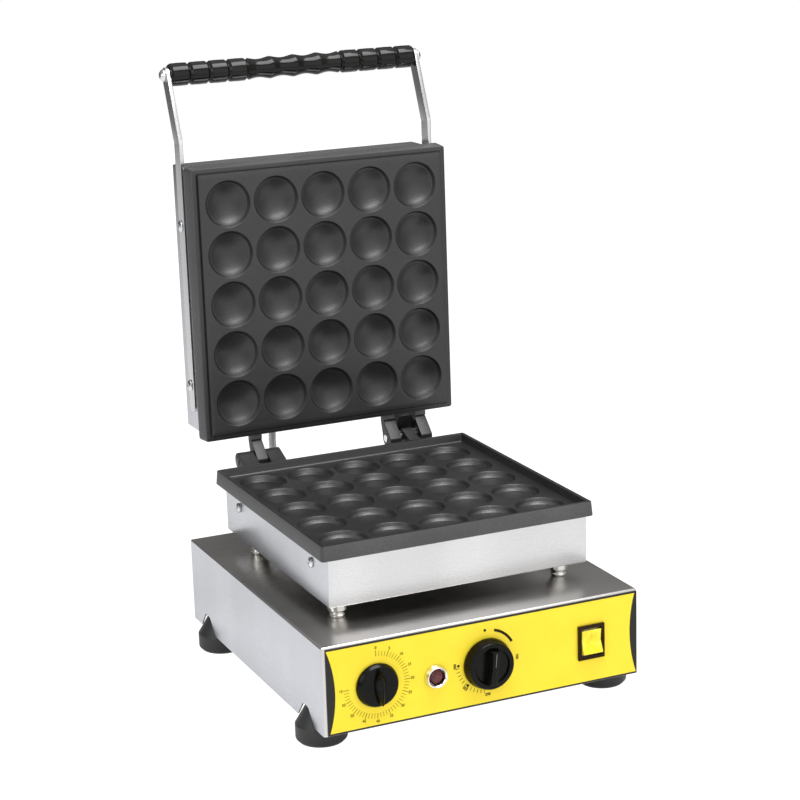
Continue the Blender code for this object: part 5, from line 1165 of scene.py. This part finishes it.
def buildConduit():
    route = conduitRoute(*(conduit[key] for key in ("x", "straight", "sag", "inside")))
    core = conduitCurve("conduitCore", route)
    core.data.bevel_depth = conduit["core"]
    core.data.bevel_resolution = 4
    core.data.use_fill_caps = True
    shape = fromMesh(bakedMesh(core), braidMesh(route))
    item = addPiece("braidedConduit", shape, machinePlace, braidWire, None, ["lid_conduit"], 60)
    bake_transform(item)
    profile = [(3.8, 6), (5.4, 6, 0.3), (6.5, 4.8, 0.5), (6.5, 2.2, 0.3), (6.0, 2.0, 0.2), (6.0, 0), (3.8, 0)]
    for name, node, body, place, rear, z in (
        ("headFitting", "conduit_fitting_head", "base", machinePlace, head["y"][1], conduit["headZ"]),
        ("lidFitting", "conduit_fitting_lid", "lid", lidPlace, lidCover["y"][1], conduit["lidZ"]),
    ):
        spot = place @ moved(conduit["x"], rear + 0.3, z) @ spun(-90, "X")
        addPiece(name, turned(profile, 40, True), spot, nickel, body, [node])


gland = {"x": 85.0, "z": 62.0, "flange": 11.0, "bore": 4.0, "neck": 7.7}


def buildGland():
    flange, bore, neck = gland["flange"], gland["bore"], gland["neck"]
    shape = turned([
        (bore, 8), (bore + 2.2, 8, 0.8), (neck + 1.2, 6.4, 0.8), (neck + 1.6, 3.4, 0.5), (flange, 2.8, 0.8),
        (flange, 0, 0.2), (neck, 0), (neck, -14), (bore, -14),
    ], 48, True)
    rear = (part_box("back_panel")[1][1] - baseY) * 1000
    place = machinePlace @ moved(gland["x"], rear + 0.3, gland["z"]) @ spun(-90, "X")
    addPiece("cableGland", shape, place, moulded, "base", ["cable_gland"])


buildConduit()
buildGland()
print("conduit made")

# ---- finishes for the CAD nodes that stay
kept = (
    (filmFinish, "front_fascia"), (switchBlack, "timer_body", "thermostat_body"), (copper, "thermostat_bulb"),
    (steelAcross, "back_panel", "bottom_cover", "lower_heater_clamp", "upper_heater_clamp"),
    (zinc, "timer_nut", "timer_shaft", "thermostat_nut", "thermostat_shaft", "handle_rod"),
    (zinc, "lower_clamp_screw", "upper_clamp_screw"), (ceramic, "terminal_block"), (sleeving, "supply_loom"),
    (heaterMetal, "lower_heater", "upper_heater"), (wool, "lower_insulation", "upper_insulation"),
)
for finish, *names in kept:
    for name in names:
        nodes[name].data.materials.clear()
        nodes[name].data.materials.append(finish)

# ---- floor, light and camera
studio = {
    "floor": 3.5, "diffuse": 0.35, "front": 0.50, "rear": 0.14, "top": 0.95, "floorGlow": 1.26, "floorSeen": 0.85,
    "floorMirrored": 0.31, "floorMost": 0.95,
}


def makeStage():
    side = studio["floor"]
    item = looseItem("floorSheet", softBox((-side, -side, -0.02), (side, side, -0.0002), 0))
    paper = Finish("floorPaper", (0.86, 0.86, 0.86), Roughness=0.9, Specular_IOR_Level=0.1)
    glow = paper.node("Emission", {"Color": (1, 1, 1, 1), "Strength": studio["floorGlow"]})
    seen = paper.seen("Camera") * studio["floorSeen"] + paper.seen("Glossy") * studio["floorMirrored"]
    share = paper.maths("MINIMUM", seen, studio["floorMost"])
    mixed = paper.node("MixShader", {0: share, 1: Wire(paper, paper.shader.outputs[0]), 2: glow})
    paper.feed(paper.tree.nodes["Material Output"].inputs["Surface"], mixed)
    item.data.materials.append(paper.material)


def makeWorld():
    world = bpy.data.worlds.new("studioWorld")
    bpy.context.scene.world = world
    world.use_nodes = True
    sky = Shading(world.node_tree)
    depth, height = sky.axes("Generated")[1:]
    mirrored = sky.between(depth, -0.8, 0.5, studio["front"], studio["rear"])
    mirrored = mirrored + sky.between(height, 0.45, 0.95, 0.0, studio["top"])
    glossy = sky.seen("Glossy")
    seen = sky.maths("MAXIMUM", sky.seen("Camera"), sky.seen("Transmission"))
    lit = glossy * mirrored + (1 - glossy) * studio["diffuse"]
    background = sky.tree.nodes["Background"]
    sky.feed(background.inputs["Strength"], sky.maths("MAXIMUM", seen, lit * (1 - seen)))
    background.inputs["Color"].default_value = (1, 1, 1, 1)


lamps = {
    "keyTop": {"spot": (0.15, -0.35, 1.75), "aim": (0, 0, 0.15), "size": (1.3, 0.9), "power": 36},
    "leftSide": {"spot": (-1.8, -0.5, 0.95), "aim": (0, 0, 0.2), "size": (0.9, 1.1), "power": 7.5},
    "frontFill": {"spot": (0.25, -1.6, 0.85), "aim": (0, 0, 0.3), "size": (2.3, 1.4), "power": 9.5},
}


def makeLights():
    for name, facts in lamps.items():
        light = bpy.data.lights.new(name, "AREA")
        light.shape = "RECTANGLE"
        light.size, light.size_y = facts["size"]
        light.energy = facts["power"]
        item = linked(name, light)
        item.location = facts["spot"]
        item.rotation_euler = (Vector(facts["aim"]) - Vector(facts["spot"])).to_track_quat("-Z", "Y").to_euler()


shot = {
    "focal": 2212.03, "frame": 800, "sensor": 36, "far": 50, "yaw": 23.98, "pitch": 14.87, "roll": -1.79,
    "distance": 2052.48, "aim": (1.03, 260.6),
}


def makeCamera():
    yaw, pitch, roll = (math.radians(shot[key]) for key in ("yaw", "pitch", "roll"))
    forward = Vector((math.sin(yaw) * math.cos(pitch), math.cos(yaw) * math.cos(pitch), -math.sin(pitch)))
    right = Vector((math.cos(yaw), -math.sin(yaw), 0))
    up = right.cross(forward)
    across = right * math.cos(roll) + up * math.sin(roll)
    upward = -right * math.sin(roll) + up * math.cos(roll)
    spot = Vector((0, 0, shot["aim"][1])) + right * shot["aim"][0] - forward * shot["distance"]
    camera = bpy.data.cameras.new("camera")
    camera.sensor_width = shot["sensor"]
    camera.lens = shot["focal"] / shot["frame"] * shot["sensor"]
    camera.clip_end = shot["far"]
    item = linked("camera", camera)
    turn = Matrix((across, upward, -forward)).transposed().to_4x4()
    item.matrix_world = Matrix.Translation(machinePlace @ spot) @ turn
    bpy.context.scene.camera = item


makeStage()
makeWorld()
makeLights()
makeCamera()
bpy.context.scene.view_settings.view_transform = "Standard"
print("stage made")
